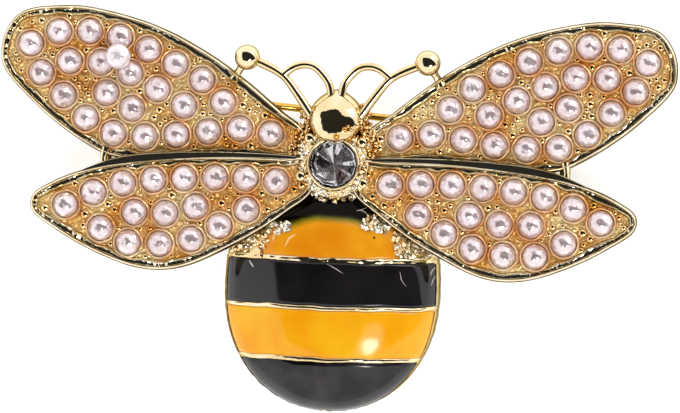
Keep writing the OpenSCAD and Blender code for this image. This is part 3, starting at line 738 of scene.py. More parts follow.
# %% Places on the dome
def turn_at(y):
    """The turn where the dome's middle line passes y."""
    ahead = y + MIDDLE_Y
    return np.arccos(np.clip(np.where(ahead > 0, ahead / FORE_REACH, ahead / AFT_REACH), -1, 1))


def y_at(share):
    """The y of a share of the abdomen's length, counted from the head end."""
    return FORE_REACH - MIDDLE_Y - share * (FORE_REACH + AFT_REACH)


def dome_height(x, y):
    """Height of the dome over a place: the row that passes it is found by undoing the bow."""
    lean = 0.0
    for _ in range(3):
        turn = turn_at(y + lean)
        across = np.clip(np.abs(x) / np.maximum(WIDTH / 2 * half_share(turn), 1e-6), 0, 1)
        lean = BOW * np.sin(turn) * (1 - across ** 2) ** 0.5
    return SIDE + RISE * np.sin(turn) ** RISE_POWER * (1 - across ** 2) ** (CROSS_POWER / 2)


print("the dome is", round(float(dome_height(0, -MIDDLE_Y)), 2), "mm high")

# %% [markdown]
# Each cell is a stretch between two ridges, sunk by half a millimetre with steep walls, and the
# tail's cell reaches nearly to the end and leaves a thin rim. Booleans could cut them out. As a
# depth over turn and lift they need no cutting, and the enamel can be fitted to the same edges.

# %% Cells
FORE_EDGE, SIDE_EDGE = math.radians(49), math.radians(13)
ridge_y = np.array([y_at(share) for share in RIDGES])
# Columns: y of the front and of the back wall, and the lift of the side walls
cells = {
    "fore": (y_at(0.047) - RIDGE / 2, ridge_y[0] + RIDGE / 2, FORE_EDGE),
    "middle": (ridge_y[0] - RIDGE / 2, ridge_y[1] + RIDGE / 2, SIDE_EDGE),
    "lower": (ridge_y[1] - RIDGE / 2, ridge_y[2] + RIDGE / 2, SIDE_EDGE),
    "tip": (ridge_y[2] - RIDGE / 2, y_at(0.9995), SIDE_EDGE),
}
# How much a cell's wall leans, in radians of turn or lift
LEAN = 0.012


def sunk(turn, lift):
    """How deep the casting lies under the dome: 0 on ridges and edges, the full depth in a cell."""
    depth = np.zeros(np.broadcast(turn, lift).shape)
    for front, back, edge in cells.values():
        a, b = turn_at(front), turn_at(back)
        along = smooth_step(a, a + LEAN, turn) * smooth_step(b, b - LEAN, turn)
        far = math.pi - edge
        across = smooth_step(edge, edge + LEAN, lift) * smooth_step(far, far - LEAN, lift)
        depth = np.maximum(depth, along * across)
    return depth * CELL


print("ridges at y =", ridge_y.round(2), "mm, cells:", list(cells))

# %% [markdown]
# The casting is that dome with its cells sunk, its ridges crowned and worn, and its shoulders
# rough, down to the rim and back up through the hollow. A plain grid fine enough for the cells'
# walls would be heavy. Here the rows and columns crowd together at the walls, so that the edges
# are crisp and the rest stays light.

# %% Casting
def dome_rows():
    """Turns of the grid's rows: even ones, and closer ones on both sides of every cell's edge."""
    rows = [np.linspace(0, math.pi, 110)]
    for front, back, edge in cells.values():
        rows += [turn_at(y) + np.array([-0.02, -0.012, -0.006, 0, 0.006, 0.012, 0.02]) for y in (front, back)]
    return np.unique(np.clip(np.concatenate(rows), 0, math.pi))


def dome_columns():
    """Lifts of the grid's columns, closer at the cells' side edges."""
    cols = [np.linspace(0, math.pi, 90)]
    for edge in (FORE_EDGE, SIDE_EDGE):
        near = edge + np.array([-0.01, 0, 0.006, 0.012, 0.02])
        cols += [near, math.pi - near]
    return np.unique(np.clip(np.concatenate(cols), 0, math.pi))


def casting_inset(turn, lift):
    """How far the outside lies under the dome: cells sunk, ridges crowned and worn, shoulders rough.
    Where resin ran over it, the first ridge is flatter and more torn than the others."""
    x, y, z = np.moveaxis(dome(turn, lift, 0, WARP), -1, 0)
    depth = sunk(turn, lift)
    shoulder = smooth_step(FORE_EDGE + 0.02, FORE_EDGE - 0.05, np.minimum(lift, math.pi - lift))
    shoulder = shoulder * smooth_step(ridge_y[0] - 0.1, ridge_y[0] + 0.3, y)
    level_y = np.where(np.cos(turn) > 0, FORE_REACH, AFT_REACH) * np.cos(turn) - MIDDLE_Y
    off_crest = np.abs(level_y[..., None] - ridge_y).min(-1) / (RIDGE / 2)
    first = y > ridge_y[0] - 0.5
    crown = np.where(first, 0.035, 0.06) * off_crest ** 2 * (off_crest < 1.1)
    torn = (0.03 + 0.05 * first) * (1 - depth / CELL) * waves(x, y, 0.9, 9)
    return depth + crown + 0.02 - (torn + shoulder * 0.06 * waves(x, y, 0.55, 3, 3))


def abdomen_casting():
    """A closed shell: each row is a ring over the outside, down to the rim, and back through the hollow."""
    turn, lift = dome_rows()[:, None], dome_columns()[None]
    outside = dome(turn, lift, casting_inset(turn, lift), WARP)
    hollow = dome(turn, np.linspace(math.pi, 0, 40)[None], HOLLOW)
    foot, inner_foot = (sheet[:, [0, -1]] * [1, 1, 0] for sheet in (outside, hollow))
    ring = [foot[:, :1], outside, foot[:, 1:], inner_foot[:, :1], hollow, inner_foot[:, 1:]]
    return surface(np.concatenate(ring, 1), wrap_cols=True)


print("casting of", len(dome_rows()), "rows and", len(dome_columns()), "columns outside")

# %% [markdown]
# Shoulders, thorax and collar of the real casting are granulated: grains of gold fused side by
# side. A particle system could scatter them. A grain here is a ball half sunk into the surface
# and crumpled, and the sieve from the wings finds the places again.

# %% Grains on the shoulders
def scattered(area, seed, pitch, size, closeness):
    """Jittered lattice points inside a yes-or-no area of (x, y), sieved, with a radius for each."""
    rng = np.random.default_rng(seed)
    grid = np.stack(np.meshgrid(np.arange(-11, 11, pitch), np.arange(-12, 8, pitch)), -1).reshape(-1, 2)
    grid = grid + rng.uniform(-0.35, 0.35, grid.shape) * pitch
    grid = grid[area(grid[:, 0], grid[:, 1])]
    return sieve(grid, rng.uniform(*size, len(grid)), closeness)


def in_oval(x, y, middle, half_size):
    """Inside an oval of a middle and half sizes along x and y."""
    return np.hypot((x - middle[0]) / half_size[0], (y - middle[1]) / half_size[1]) < 1


def on_shoulder(x, y):
    """Outside the foremost enamel, ahead of the first ridge, and not under a wing; and two patches
    that lap over the enamel's fore corners."""
    half = WIDTH / 2 * half_share(turn_at(y))
    beside = (np.abs(x) > half * math.cos(FORE_EDGE) - 0.35) & (np.abs(x) < half * 0.97)
    patches = in_oval(x, y, (4.0, -5.2), (1.25, 0.9)) | in_oval(x, y, (-5.0, -5.9), (1.5, 0.45))
    return beside & (y > ridge_y[0] + 0.35) & (y < -4.6) | patches


places, radii = scattered(on_shoulder, 21, 0.28, (0.18, 0.42), 0.5)
shoulder_grains = balls(raised(places, dome_height(*places.T) - 0.02), radii, 0.8)
make_piece("abdomen_casting", [(abdomen_casting(), polished_gilt),
                               (crumpled(shoulder_grains, 0.16, 0.4, 81), pale_grain_gilt)])

# %% [markdown]
# Vitreous-looking enamel on such a brooch is coloured epoxy, poured into the cells and left to
# level itself. A coat could be laid over a dull colour, but the real one is a single layer of
# clear-skinned plastic: a low roughness and the resin's index give the wet look, and slow waves
# bend what it mirrors. The indices were matched to the picture, under the 1.5 of cured epoxy.

# %% Enamel finishes
def enamel_finish(name, base_code, cloud_code, roughness=0.05, ior=1.38, cloud_mm=5.0, wave_mm=3.0):
    """Coloured resin: one colour with faint clouds, a glassy skin, and waves a few millimetres long."""
    made = mottled(name, cloud_mm, [(0.35, base_code), (0.7, cloud_code)], Roughness=roughness, IOR=ior)
    material, tree, shader, place = made
    tree.links.new(uneven(tree, place, wave_mm, 0.02, 1.0), shader.inputs["Normal"])
    return made


# Amber is deep and a little cloudy, black a dark mirror, and the tail black but worn and cloudier
amber_enamel = enamel_finish("amber_enamel", "#FA9E08", "#FFC220")[0]
black_enamel = enamel_finish("black_enamel", "#100E0F", "#221F21", ior=1.47)[0]
tail_enamel = enamel_finish("worn_black_enamel_of_the_tail", "#0E0C0D", "#342E31", 0.09, 1.44, 2.4, 1.6)[0]
print("enamels:", [material.name for material in bpy.data.materials if "enamel" in material.name])

# %% [markdown]
# The foremost cell was poured with black at the collar and amber behind it while both were wet,
# so the two run into each other through a greenish brown. Two slabs would meet in a hard line,
# and a painted image would be tied to one size. Here a place's own y, with a wandering noise and
# a fall at both sides added, runs through a ramp that the amber is multiplied by.

# %% Black that runs into amber
# Where the foremost enamel would be all amber and all black if the line between were straight
ALL_AMBER_Y, ALL_BLACK_Y = -5.25, -4.3
# The line wanders by this much, and falls by this much from the middle to the sides
WANDER_MM, FALL_MM = 0.4, 0.6
# What the amber is multiplied by on the way to black; the first two stops are the ends
AMBER_TO_BLACK = [(0.0, "#FFFFFF"), (1.0, "#070606"), (0.3, "#CCE4FF"), (0.55, "#80B8E0"), (0.8, "#304850")]


def two_tone_enamel():
    """Amber that turns through olive to black ahead of a line that is level in the middle of the
    abdomen and lower at both sides. The black part mirrors less."""
    material, tree, shader, place = enamel_finish("black_to_amber_enamel", "#E88A0E", "#FDB426")
    # the amber with its clouds, which is linked already
    amber = shader.inputs["Base Color"].links[0].from_socket
    wander = add_node(tree, "ShaderNodeTexNoise", {"Vector": place, "Scale": 1 / (2.0 * MM), "Detail": 2.0})
    split = add_node(tree, "ShaderNodeSeparateXYZ", {"Vector": place})
    off_middle = add_node(tree, "ShaderNodeMath", {0: split.outputs["X"]}, operation="ABSOLUTE")
    sides = {"Value": off_middle.outputs["Value"], "From Min": 1.2 * MM, "From Max": 4.2 * MM,
             "To Max": FALL_MM * MM}
    fall = add_node(tree, "ShaderNodeMapRange", sides, interpolation_type="SMOOTHSTEP").outputs["Result"]
    swing = {0: wander.outputs["Fac"], 1: WANDER_MM * MM, 2: fall}
    line = {0: split.outputs["Y"],
            1: add_node(tree, "ShaderNodeMath", swing, operation="MULTIPLY_ADD").outputs["Value"]}
    across = {"Value": add_node(tree, "ShaderNodeMath", line, operation="ADD").outputs["Value"],
              "From Min": (SHIFT_Y + ALL_AMBER_Y) * MM, "From Max": (SHIFT_Y + ALL_BLACK_Y) * MM}
    black = add_node(tree, "ShaderNodeMapRange", across).outputs["Result"]
    gloss = add_node(tree, "ShaderNodeMapRange", {"Value": black, "To Min": 0.5, "To Max": 0.15})
    tree.links.new(gloss.outputs["Result"], shader.inputs["Specular IOR Level"])
    tone = add_node(tree, "ShaderNodeValToRGB", {"Fac": black}, AMBER_TO_BLACK).outputs["Color"]
    inputs = {"Factor": 1.0, 6: amber, 7: tone}
    mixed = add_node(tree, "ShaderNodeMix", inputs, data_type="RGBA", blend_type="MULTIPLY")
    tree.links.new(mixed.outputs[2], shader.inputs["Base Color"])
    return material


black_to_amber = two_tone_enamel()
print("black into amber over", round(ALL_BLACK_Y - ALL_AMBER_Y, 2), "mm")

# %% [markdown]
# A poured enamel stands almost flush with the gold and rounds down at its lip, where it clings
# to the cell's wall. A plane with a subdivided bevel could do. Two sheets of the same dome, one
# just under the gold and one near the cell's floor, keep an even thickness all over.

# %% Enamel slabs
# Depths of both sheets under the dome, drop and breadth of the lip, and the gap ahead and behind
TOP, BOTTOM, LIP, LIP_BREADTH, GAP = 0.05, 0.44, 0.10, 0.25, 0.05


def enamel(cell, rows, cols):
    """A slab of the dome between two insets: its top drops as the square of the nearness to its lip."""
    front, back, edge = cells[cell]
    a, b = turn_at(front - GAP), turn_at(back + GAP)
    # both shares step closer together towards their ends
    u, v = ((1 - np.cos(np.linspace(0, np.pi, count))) / 2 for count in (rows, cols))
    turn = (a + (b - a) * u)[:, None]
    lift = (edge + LEAN + (math.pi - 2 * edge - 2 * LEAN) * v)[None]
    from_ends = np.minimum(u, 1 - u)[:, None] * abs(front - back)
    from_edge = np.minimum(from_ends, np.minimum(v, 1 - v)[None] * WIDTH)
    drop = LIP * (1 - np.clip(from_edge / LIP_BREADTH, 0, 1)) ** 2
    x, y, z = np.moveaxis(dome(turn, lift, 0), -1, 0)
    upper = dome(turn, lift, TOP + drop - 0.015 * waves(x, y, 5.0, 17, 1), WARP)
    lower = dome(turn, lift, BOTTOM, WARP)
    # the lower sheet runs the other way, so that the two close into one ring per row
    return capped(np.concatenate([upper, lower[:, ::-1]], 1))


print("an enamel slab of 60 by 130 points has", len(enamel("lower", 60, 130)[1]), "faces")

# %% [markdown]
# Worn resin has fine scratch marks and chips, and a speck of dust lies on the amber. Other pale
# strokes are painted light: glints on the black collar and at the band's right end, and highlight
# arcs on the amber lobe. They could be painted into the finish. Thin rods and a small ball, half
# sunk into the resin, catch the light by themselves and stay sharp from close by.

# %% Scratches, painted glints and highlights, dust and the enamel pieces
# Scratches, painted glints and highlights, and dust lie this deep under the dome, about half in the resin
SINK = 0.06


# The same rods draw real scratch marks and the painted glints and highlights
def thin_strokes(rows, radius):
    """Hair-thin rods that follow the resin's surface, thickest in the middle."""
    parts = []
    for corners in rows:
        flat = open_curve(corners, 8)
        swell = np.sin(np.linspace(0.3, np.pi - 0.3, len(flat)))
        parts.append(tube(raised(flat, dome_height(*flat.T) - SINK), radius * swell, 6))
    return joined(parts)


# Corners (x, y) of each stroke: scratch marks and chips on the band, painted glints on the collar and at
# the band's right end, painted highlight arcs on the amber lobe
BAND_SCRATCHES = [[(-0.22, -9.04), (0.6, -9.45), (1.33, -9.91)],
                  [(6.28, -9.24), (6.40, -9.8), (6.52, -10.3), (6.94, -10.84)]]
BAND_CHIPS_AND_GLINTS = [[(-7.42, -8.95), (-7.2, -9.25), (-6.96, -9.57)], [(9.0, -9.8), (9.12, -9.35), (9.36, -9.05)],
              [(9.12, -10.7), (9.2, -10.25), (9.4, -9.8)]]
# Painted glints: the white reflections on the collar's black, as pale rods
COLLAR_GLINTS = [[(2.2, -4.15), (2.65, -4.05), (3.1, -3.84)], [(2.55, -4.12), (2.95, -4.25), (3.2, -4.47)]]
# Painted highlights: pale arcs of light on the amber lobe
LOBE_PAINTED_HIGHLIGHTS = [[(-3.21, -6.47), (-3.79, -6.90), (-4.09, -7.64)],
                  [(-4.99, -6.4), (-5.2, -6.75), (-5.24, -7.13)]]
SPECK, SPECK_R = np.array([[3.91, -6.54]]), 0.13
# Pale on black for scratch marks and chips and for painted glints, pale yellow on amber for painted
# highlights
scratch_and_glint_paint = new_material("black_resin_scratches_and_painted_glints", Roughness=0.5, Base_Color="#CFC7BF")[0]
amber_highlight_paint = new_material("painted_highlight_arcs_on_amber", Roughness=0.3, Base_Color="#FFD58A")[0]
# Dust: a dull brown dot
dust = new_material("dust_speck", Roughness=0.6, Base_Color="#3A1A08")[0]
speck = balls(raised(SPECK, dome_height(*SPECK.T) - SINK), np.array([SPECK_R]))
front = [(enamel("fore", 70, 90), black_to_amber), (thin_strokes(LOBE_PAINTED_HIGHLIGHTS, 0.11), amber_highlight_paint),
         (thin_strokes(COLLAR_GLINTS, 0.06), scratch_and_glint_paint), (speck, dust)]
band = [(enamel("middle", 60, 130), black_enamel), (thin_strokes(BAND_SCRATCHES, 0.04), scratch_and_glint_paint),
        (thin_strokes(BAND_CHIPS_AND_GLINTS, 0.08), scratch_and_glint_paint)]
make_piece("enamel_front", front, ["enamel_fore"])
make_piece("enamel_upper_band", band, ["enamel_middle"])
make_piece("enamel_lower_band", [(enamel("lower", 60, 130), amber_enamel)], ["enamel_lower"])
make_piece("enamel_tail", [(enamel("tip", 70, 130), tail_enamel)], ["enamel_tip"])

# %% [markdown]
# The thorax is a turned boss with a thin lip that holds the round stone, four claw beads on its
# shoulder and crumbs of gold all round. The crumbs run on over the inner ends of the fore wings,
# where no rim shows. They follow a table of heights, so they lie on the boss like sprinkled
# sugar; modelling each by hand would look no different from here.

# %% Thorax
# Columns: radius, height; the boss from its foot up to the lip and down under the stone
BOSS = [(0, 2.7), (2.6, 2.7), (3.3, 2.75), (3.4, 2.9), (3.4, 4.2), (3.3, 4.5), (3.05, 4.75), (2.75, 4.95),
        (2.5, 5.1), (2.38, 5.25), (2.36, 5.38), (2.28, 5.44), (2.18, 5.40), (2.12, 5.28), (2.09, 5.15),
        (0.0, 3.62)]
CLAW_TURNS, CLAW_RING, CLAW_R, CLAW_Z = np.radians([39, 135, 202, 328]), 3.2, 0.45, 5.0
HEAD_Y = 4.05


def from_head(x, y):
    """How far a place lies from the head's axis."""
    return np.hypot(x, y - HEAD_Y)


def on_boss(x, y):
    """A ring between the stone's lip and the edge of the boss, clear of the head."""
    r = np.hypot(x, y)
    return (r > 2.5) & (r < 3.5) & (from_head(x, y) > 2.35)


def past_root(x, y):
    """How far a place lies beyond the inner end of a fore wing, outwards."""
    return np.abs(x) - (2.67 + 0.29 * (2.75 - y))


def over_roots(x, y):
    """A strip over both inner ends, where the casting is crumbly and no rim shows."""
    return (past_root(x, y) > -0.3) & (past_root(x, y) < 1.0) & (y > 0.75) & (y < 3.4)


def crumbs(found, measure, heights, seed):
    """Grains whose height follows a table by a measure of their place, each a little higher or lower."""
    places, radii = found
    height = np.interp(measure(*places.T), *np.array(heights).T)
    lift = np.random.default_rng(seed).uniform(-0.08, 0.06, len(places))
    return balls(raised(places, height + lift), radii, 0.8)


# Columns: distance from the stone's axis or beyond the wing's end, height
BOSS_HEIGHTS = [(2.4, 5.15), (2.75, 4.95), (3.05, 4.75), (3.3, 4.5), (3.5, 4.2)]
ROOT_HEIGHTS = [(-0.3, 4.5), (0.3, 4.35), (1.0, 3.9)]
boss_grains = crumbs(scattered(on_boss, 8, 0.34, (0.18, 0.36), 0.68), np.hypot, BOSS_HEIGHTS, 12)
root_grains = crumbs(scattered(over_roots, 25, 0.3, (0.16, 0.33), 0.6), past_root, ROOT_HEIGHTS, 26)
claws = copies(ball(CLAW_R, 24, 14, 0.5), raised(CLAW_RING * on_circle(CLAW_TURNS), CLAW_Z))
make_piece("thorax", [(revolved(BOSS, 96), polished_gilt),
                      (crumpled(boss_grains, 0.08, 0.4, 84), pale_grain_gilt),
                      (crumpled(root_grains, 0.08, 0.4, 87), grain_gilt), (claws, polished_gilt)])

# %% [markdown]
# The head is a smooth knob on a rough collar, with crumbs at its foot. A scaled ball would
# mirror the tent's dark opening as one small spot. The real one's crown is flatter, leans towards
# the thorax and comes to a soft point ahead, so it is drawn as rings round an off-centre apex.

# %% Head
# The head's radius, the place of its apex, and the heights of its top, its crown's start and its foot
HEAD_R, APEX_Y, HEAD_TOP, HEAD_SIDE, BODY_FOOT = 2.5, 3.45, 6.0, 3.7, 2.7


def head(rows=48, cols=80):
    """Rings run from the upright side to the apex; their height follows a superellipse."""
    turn = (2 * np.pi * np.arange(cols) / cols)[None]
    out = np.sin(np.linspace(np.pi / 2, 0, rows))[:, None]
    ahead = np.clip(np.sin(turn), 0, 1)
    x = out * HEAD_R * np.cos(turn)
    y = APEX_Y + out * (HEAD_Y - APEX_Y + HEAD_R * np.sin(turn) * (1.0 + 0.10 * ahead ** 12))
    power = 2.9 - 0.7 * ahead ** 2
    z = HEAD_SIDE + (HEAD_TOP - HEAD_SIDE) * np.clip(1 - out ** power, 0, 1) ** (1 / power)
    z = z - 0.10 * smooth_step(0, 3, y - HEAD_Y) - 0.03 * waves(x, y, 2.2, 31) - 0.010 * waves(x, y, 0.7, 33)
    rings = np.stack([x, y, z], -1)
    foot = rings[:1] * [1, 1, 0] + [0, 0, BODY_FOOT]
    base_middle = np.broadcast_to([0.0, HEAD_Y, BODY_FOOT], foot.shape)
    return surface(np.concatenate([base_middle, foot, rings]), wrap_cols=True)


def round_head(x, y):
    """A ring at the foot of the head and a slanted patch on it, both clear of the stone's lip."""
    nearest = np.where((x > 0.2) & (y < HEAD_Y + 0.4), 2.0, 2.35)
    ring = (from_head(x, y) > nearest) & (from_head(x, y) < 3.2) & (y < 5.4)
    patch = in_oval(x, y - 0.35 * (x - 1.1), (1.1, 2.95), (1.5, 0.42))
    return (ring | patch) & (np.hypot(x, y) > 2.5)


COLLAR_Y = 3.2
COLLAR = [(0, 2.7), (2.9, 2.7), (3.0, 2.8), (3.0, 3.3), (2.8, 3.6), (2.4, 3.9), (0, 3.9)]
HEAD_HEIGHTS = [(0.6, 5.95), (1.2, 5.88), (1.6, 5.74), (2.0, 5.42), (2.2, 5.18), (2.38, 4.8), (2.5, 4.3),
                (2.7, 4.0), (3.0, 3.75), (3.25, 3.5)]
head_crumbs = crumbs(scattered(round_head, 14, 0.36, (0.20, 0.34), 0.72), from_head, HEAD_HEIGHTS, 16)
make_piece("head", [(head(), polished_gilt), (copies(revolved(COLLAR, 72), [(0, COLLAR_Y, 0)]), grain_gilt),
                    (head_crumbs, grain_gilt)])

# %% [markdown]
# The antennae are cast as bent wires: a stalk that swells and thins a little as filed wire does,
# a loop beside the head, and a ball at the end that a short neck ties to the wing's rim. A
# bevelled curve object would do as well. The ball is a turned superellipse, because its flatter
# top mirrors more of the dark opening, as in the picture.

# %% Antennae
# Place of the end ball, radii of wire and ball, and the power of the ball's superellipse
ANTENNA_X, ANTENNA_Y, ANTENNA_Z, WIRE_R, BALL_R, BALL_FULLNESS = 8.2, 9.4, 4.6, 0.38, 1.15, 2.35
# Columns: shares of the antenna's reach across and ahead
STALK = [(1.00, 1.00), (0.82, 0.94), (0.66, 0.872), (0.55, 0.795), (0.42, 0.65)]
LOOP = [(0.60, 0.838), (0.48, 0.918), (0.366, 0.947), (0.256, 0.93), (0.16, 0.86), (0.08, 0.755)]
# Columns: place from the ball's middle across and ahead, height, radius
NECK = np.array([(0.3, -0.5, 4.2, 0.5), (0.7, -1.1, 3.95, 0.34), (1.0, -1.6, 3.8, 0.36),
                 (1.2, -2.0, 3.7, 0.5)])


def wire_path(table, end):
    """A smooth level path through the table's corners and a last place in the head."""
    return raised(open_curve(np.vstack([np.array(table) * [ANTENNA_X, ANTENNA_Y], end]), 8), ANTENNA_Z)


def flattened_ball(rings=40):
    """A turned superellipse, fuller than a circle at its shoulders."""
    lift = np.pi * (np.arange(rings + 1) / rings - 0.5)
    c, s = np.abs(np.cos(lift)), np.sin(lift)
    size = BALL_R / (c ** BALL_FULLNESS + np.abs(s) ** BALL_FULLNESS) ** (1 / BALL_FULLNESS)
    return revolved(np.stack([size * c, size * s], -1), 48)


def antenna():
    """The right antenna: stalk, loop, end ball and neck."""
    stalk = wire_path(STALK, (HEAD_R * 0.8, HEAD_Y))
    loop = wire_path(LOOP, (HEAD_R * 0.16, HEAD_Y + HEAD_R * 0.6))
    swell = 1 + 0.06 * np.sin(np.linspace(0, 9, len(stalk)))
    neck = NECK[:, :3] + [ANTENNA_X, ANTENNA_Y, 0]
    return joined([tube(stalk, WIRE_R * swell, 16), tube(loop, np.full(len(loop), WIRE_R * 0.94), 16),
                   copies(flattened_ball(), [(ANTENNA_X, ANTENNA_Y, ANTENNA_Z)]), tube(neck, NECK[:, 3], 14)])


def mirrored(part, side):
    """The part itself for side 1, and its mirror image to the left for side -1."""
    return part[0] * [side, 1, 1], part[1]


SIDES = {"right": 1, "left": -1}
for word, side in SIDES.items():
    make_piece("antenna_" + word, [(mirrored(antenna(), side), polished_gilt)])

# %% [markdown]
# The stone is a chaton: a glass crown with a flat table, over a faceted back that is foiled to
# throw the light forward. A deep back with true facet angles is the other way, but there the
# smallest tilt redraws the whole star, so it can't be matched. Here the back is a shallow star
# of rings, whose corners lie where the real one's facets begin.

# %% Facets of the stone
# Radius, height of the girdle's plane, the table as a share of the radius, depth of the foil's point
STONE_R, GIRDLE_Z, TABLE, POINT_DEPTH = 2.05, 5.3, 0.965, 1.46
# Above the girdle's plane, the crown's foot and the table; below it, the star's middle; its rise
GIRDLE, CROWN, STAR_DEPTH, STAR_RISE = 0.40, 0.52, 0.50, 0.60
# Shares of the stone's radius where the tones change
STEPS = np.array([0.0, 0.44, 0.74, 0.86, 1.0])
# Columns: where a facet starts, in degrees clockwise from the head, and its tones of painted reflection
# from the middle outwards: b bright, p pale, g grey, n brown, d dark
FACETS = [(346, "bbbb"), (357, "ddgd"), (7, "dbbp"), (14, "dbpp"), (25, "ddpp"), (34, "ddgd"),
          (60, "gddg"), (79, "pbbb"), (94, "ddgd"), (118, "gpbb"), (126, "nnnp"), (150, "nngd"),
          (167, "ppbb"), (174, "dgbg"), (205, "dgbg"), (238, "ggbg"), (268, "ggpg"), (297, "bbbg"),
          (305, "gdgd"), (325, "gpgg"), (335, "bbgg")]


def facet_ring(radius, height):
    """Corners of the stone's facets on a circle at a height."""
    a = np.pi / 2 - np.radians([start for start, tones in FACETS])
    return raised(radius * on_circle(a), height)


def star(drop=0.0):
    """The stone's back as rings of corners, from its middle to the girdle. Heights differ a little, as
    cutting by hand leaves them, so that every facet leans its own way."""
    rings = np.array([facet_ring(STONE_R * share, GIRDLE_Z - STAR_DEPTH + STAR_RISE * share - drop)
                      for share in STEPS])
    rings[1:, :, 2] += np.random.default_rng(4).uniform(-0.05, 0.05, rings[1:, :, 2].shape) * STEPS[1:, None]
    return rings


def chaton():
    """The clear stone: its star of facets, the girdle, the bevelled crown and the table."""
    crown = [facet_ring(STONE_R, GIRDLE_Z + GIRDLE), facet_ring(STONE_R * TABLE, GIRDLE_Z + CROWN),
             facet_ring(0.0, GIRDLE_Z + CROWN)]
    return surface(np.concatenate([star(), crown]), wrap_cols=True)


print(len(FACETS), "facets round the stone")

# %% [markdown]
# Behind the glass lies tin foil. Plain mirror foil would show whatever the tent happens to be.
# Here each facet's foil has the tone that the real one shows, a painted reflection: bright where it
# catches the tent, dark where it misses it, brown on a few. The chart is listed facet by facet.

# %% Foil and glass
# Columns: letter, name, tint, stain, how much of it mirrors
FOIL_TONES = [("b", "bright", "#FFFFFF", "#F2F0F0", 0.9), ("p", "pale", "#D0C5C1", "#9C928E", 0.8),
              ("g", "grey", "#807876", "#5E5856", 0.9), ("n", "brown", "#664E48", "#4C3A36", 0.9),
              ("d", "dark", "#4A4240", "#38322F", 1.0)]


def foil(letter, tone, tint, stain, metallic):
    """Tin foil behind the glass, with blots of its stain, part mirror and part plain colour."""
    blots = [(0.35, stain), (0.6, tint)]
    return mottled("stone_foil_" + tone, 0.5, blots, Metallic=metallic, Roughness=0.2)[0]


def foil_parts():
    """The foil under the star, one part for each tone, and a cone behind it down to a point."""
    rings = star(0.03)
    v, f = surface(rings, wrap_cols=True)
    tones = np.array([list(tones) for start, tones in FACETS]).T.ravel()
    foils = {row[0]: foil(*row) for row in FOIL_TONES}
    cone = surface(np.array([rings[-1], facet_ring(0.0, GIRDLE_Z - POINT_DEPTH)]), wrap_cols=True)
    return [((v, f[tones == letter]), foils[letter]) for letter in foils] + [(cone, foils["g"])]


# Clear leaded glass, with the faintest cool tint
glass = new_material("chaton_glass", Roughness=0.0, IOR=1.56, Transmission_Weight=1.0,
                     Base_Color="#F4F4F6")[0]
for name, parts in {"stone_crown": [(chaton(), glass)], "stone_foil_cup": foil_parts()}.items():
    make_piece(name, parts, ["centre_stone"]).data.shade_flat()

# %% [markdown]
# Behind the wings are the plain working parts: two ears with a rivet, the pin that turns on it,
# and an open-sided tube that keeps the pin's end. They lie along a slanted line. Turned objects
# could be placed on it; a frame of the pin's own, x along the wire and y along the rivet, does
# that for every part at once, with the CAD's sizes.

# %% The pin's own frame
# Names end in R for a radius and in T for a thickness; SPAN runs from rivet to keeper
PIN_SLOPE = math.radians(4.4)
EAR_R, EAR_T, EYE_T, RIVET_R, EYE_R, EYE_BORE = 1.15, 0.6, 0.8, 0.4, 0.9, 0.45
HINGE = np.array([-17.0, 4.7 + 17.0 * math.tan(PIN_SLOPE), EAR_R])
SPAN, KEEPER, KEEPER_BORE, PIN_R, SHOULDER_R, BLOCK_TOP = 33.5, 2.4, 0.43, 0.33, 0.40, 2.0


def at_pin(part):
    """From the pin's own frame, x along the wire and y along the rivet, to the brooch's."""
    c, s = math.cos(PIN_SLOPE), math.sin(PIN_SLOPE)
    return part[0] @ np.array([[c, -s, 0], [s, c, 0], [0, 0, 1]]) + HINGE, part[1]


def turned_about(axis, profile, segments):
    """A profile of (place along the axis, radius), turned about x or y."""
    v, f = revolved([(r, along) for along, r in profile], segments)
    return v[:, {"x": [2, 0, 1], "y": [0, 2, 1]}[axis]], f


def block(low, high):
    """A box between two corners: its foot and its top as two rings."""
    (x0, y0, z0), (x1, y1, z1) = low, high
    ring = np.array([[x0, y0], [x1, y0], [x1, y1], [x0, y1]])
    return capped(np.array([raised(ring, z0), raised(ring, z1)]))


print("the rivet's middle is at", HINGE.round(2), "mm")

# %% [markdown]
# The ears are turned discs with a block under each, and the keeper is a tube with its mouth on
# the pin's path. A boolean could cut the mouth. Drawn as one ring, from outer arc to inner arc,
# the tube has its mouth from the start.

# %% Hinge and keeper
def hinge():
    """Two round-footed ears and the rivet across them."""
    reach, soft = EYE_T / 2 + 0.08, 0.05
    end = reach + EAR_T
    parts = []
    for inner, outer in ((-end, -reach), (reach, end)):
        ear = [(inner, 0), (inner, EAR_R - soft), (inner + soft, EAR_R), (outer - soft, EAR_R),
               (outer, EAR_R - soft), (outer, 0)]
        parts += [turned_about("y", ear, 48), block((-EAR_R, inner, 0), (EAR_R, outer, BLOCK_TOP))]
    parts.append(turned_about("y", [(-end, 0), (-end, RIVET_R), (end, RIVET_R), (end, 0)], 32))
    return at_pin(joined(parts))


def across_x(x, flat):
    """Points (y, z) set upright at an x."""
    return np.column_stack([np.full(len(flat), x), flat])


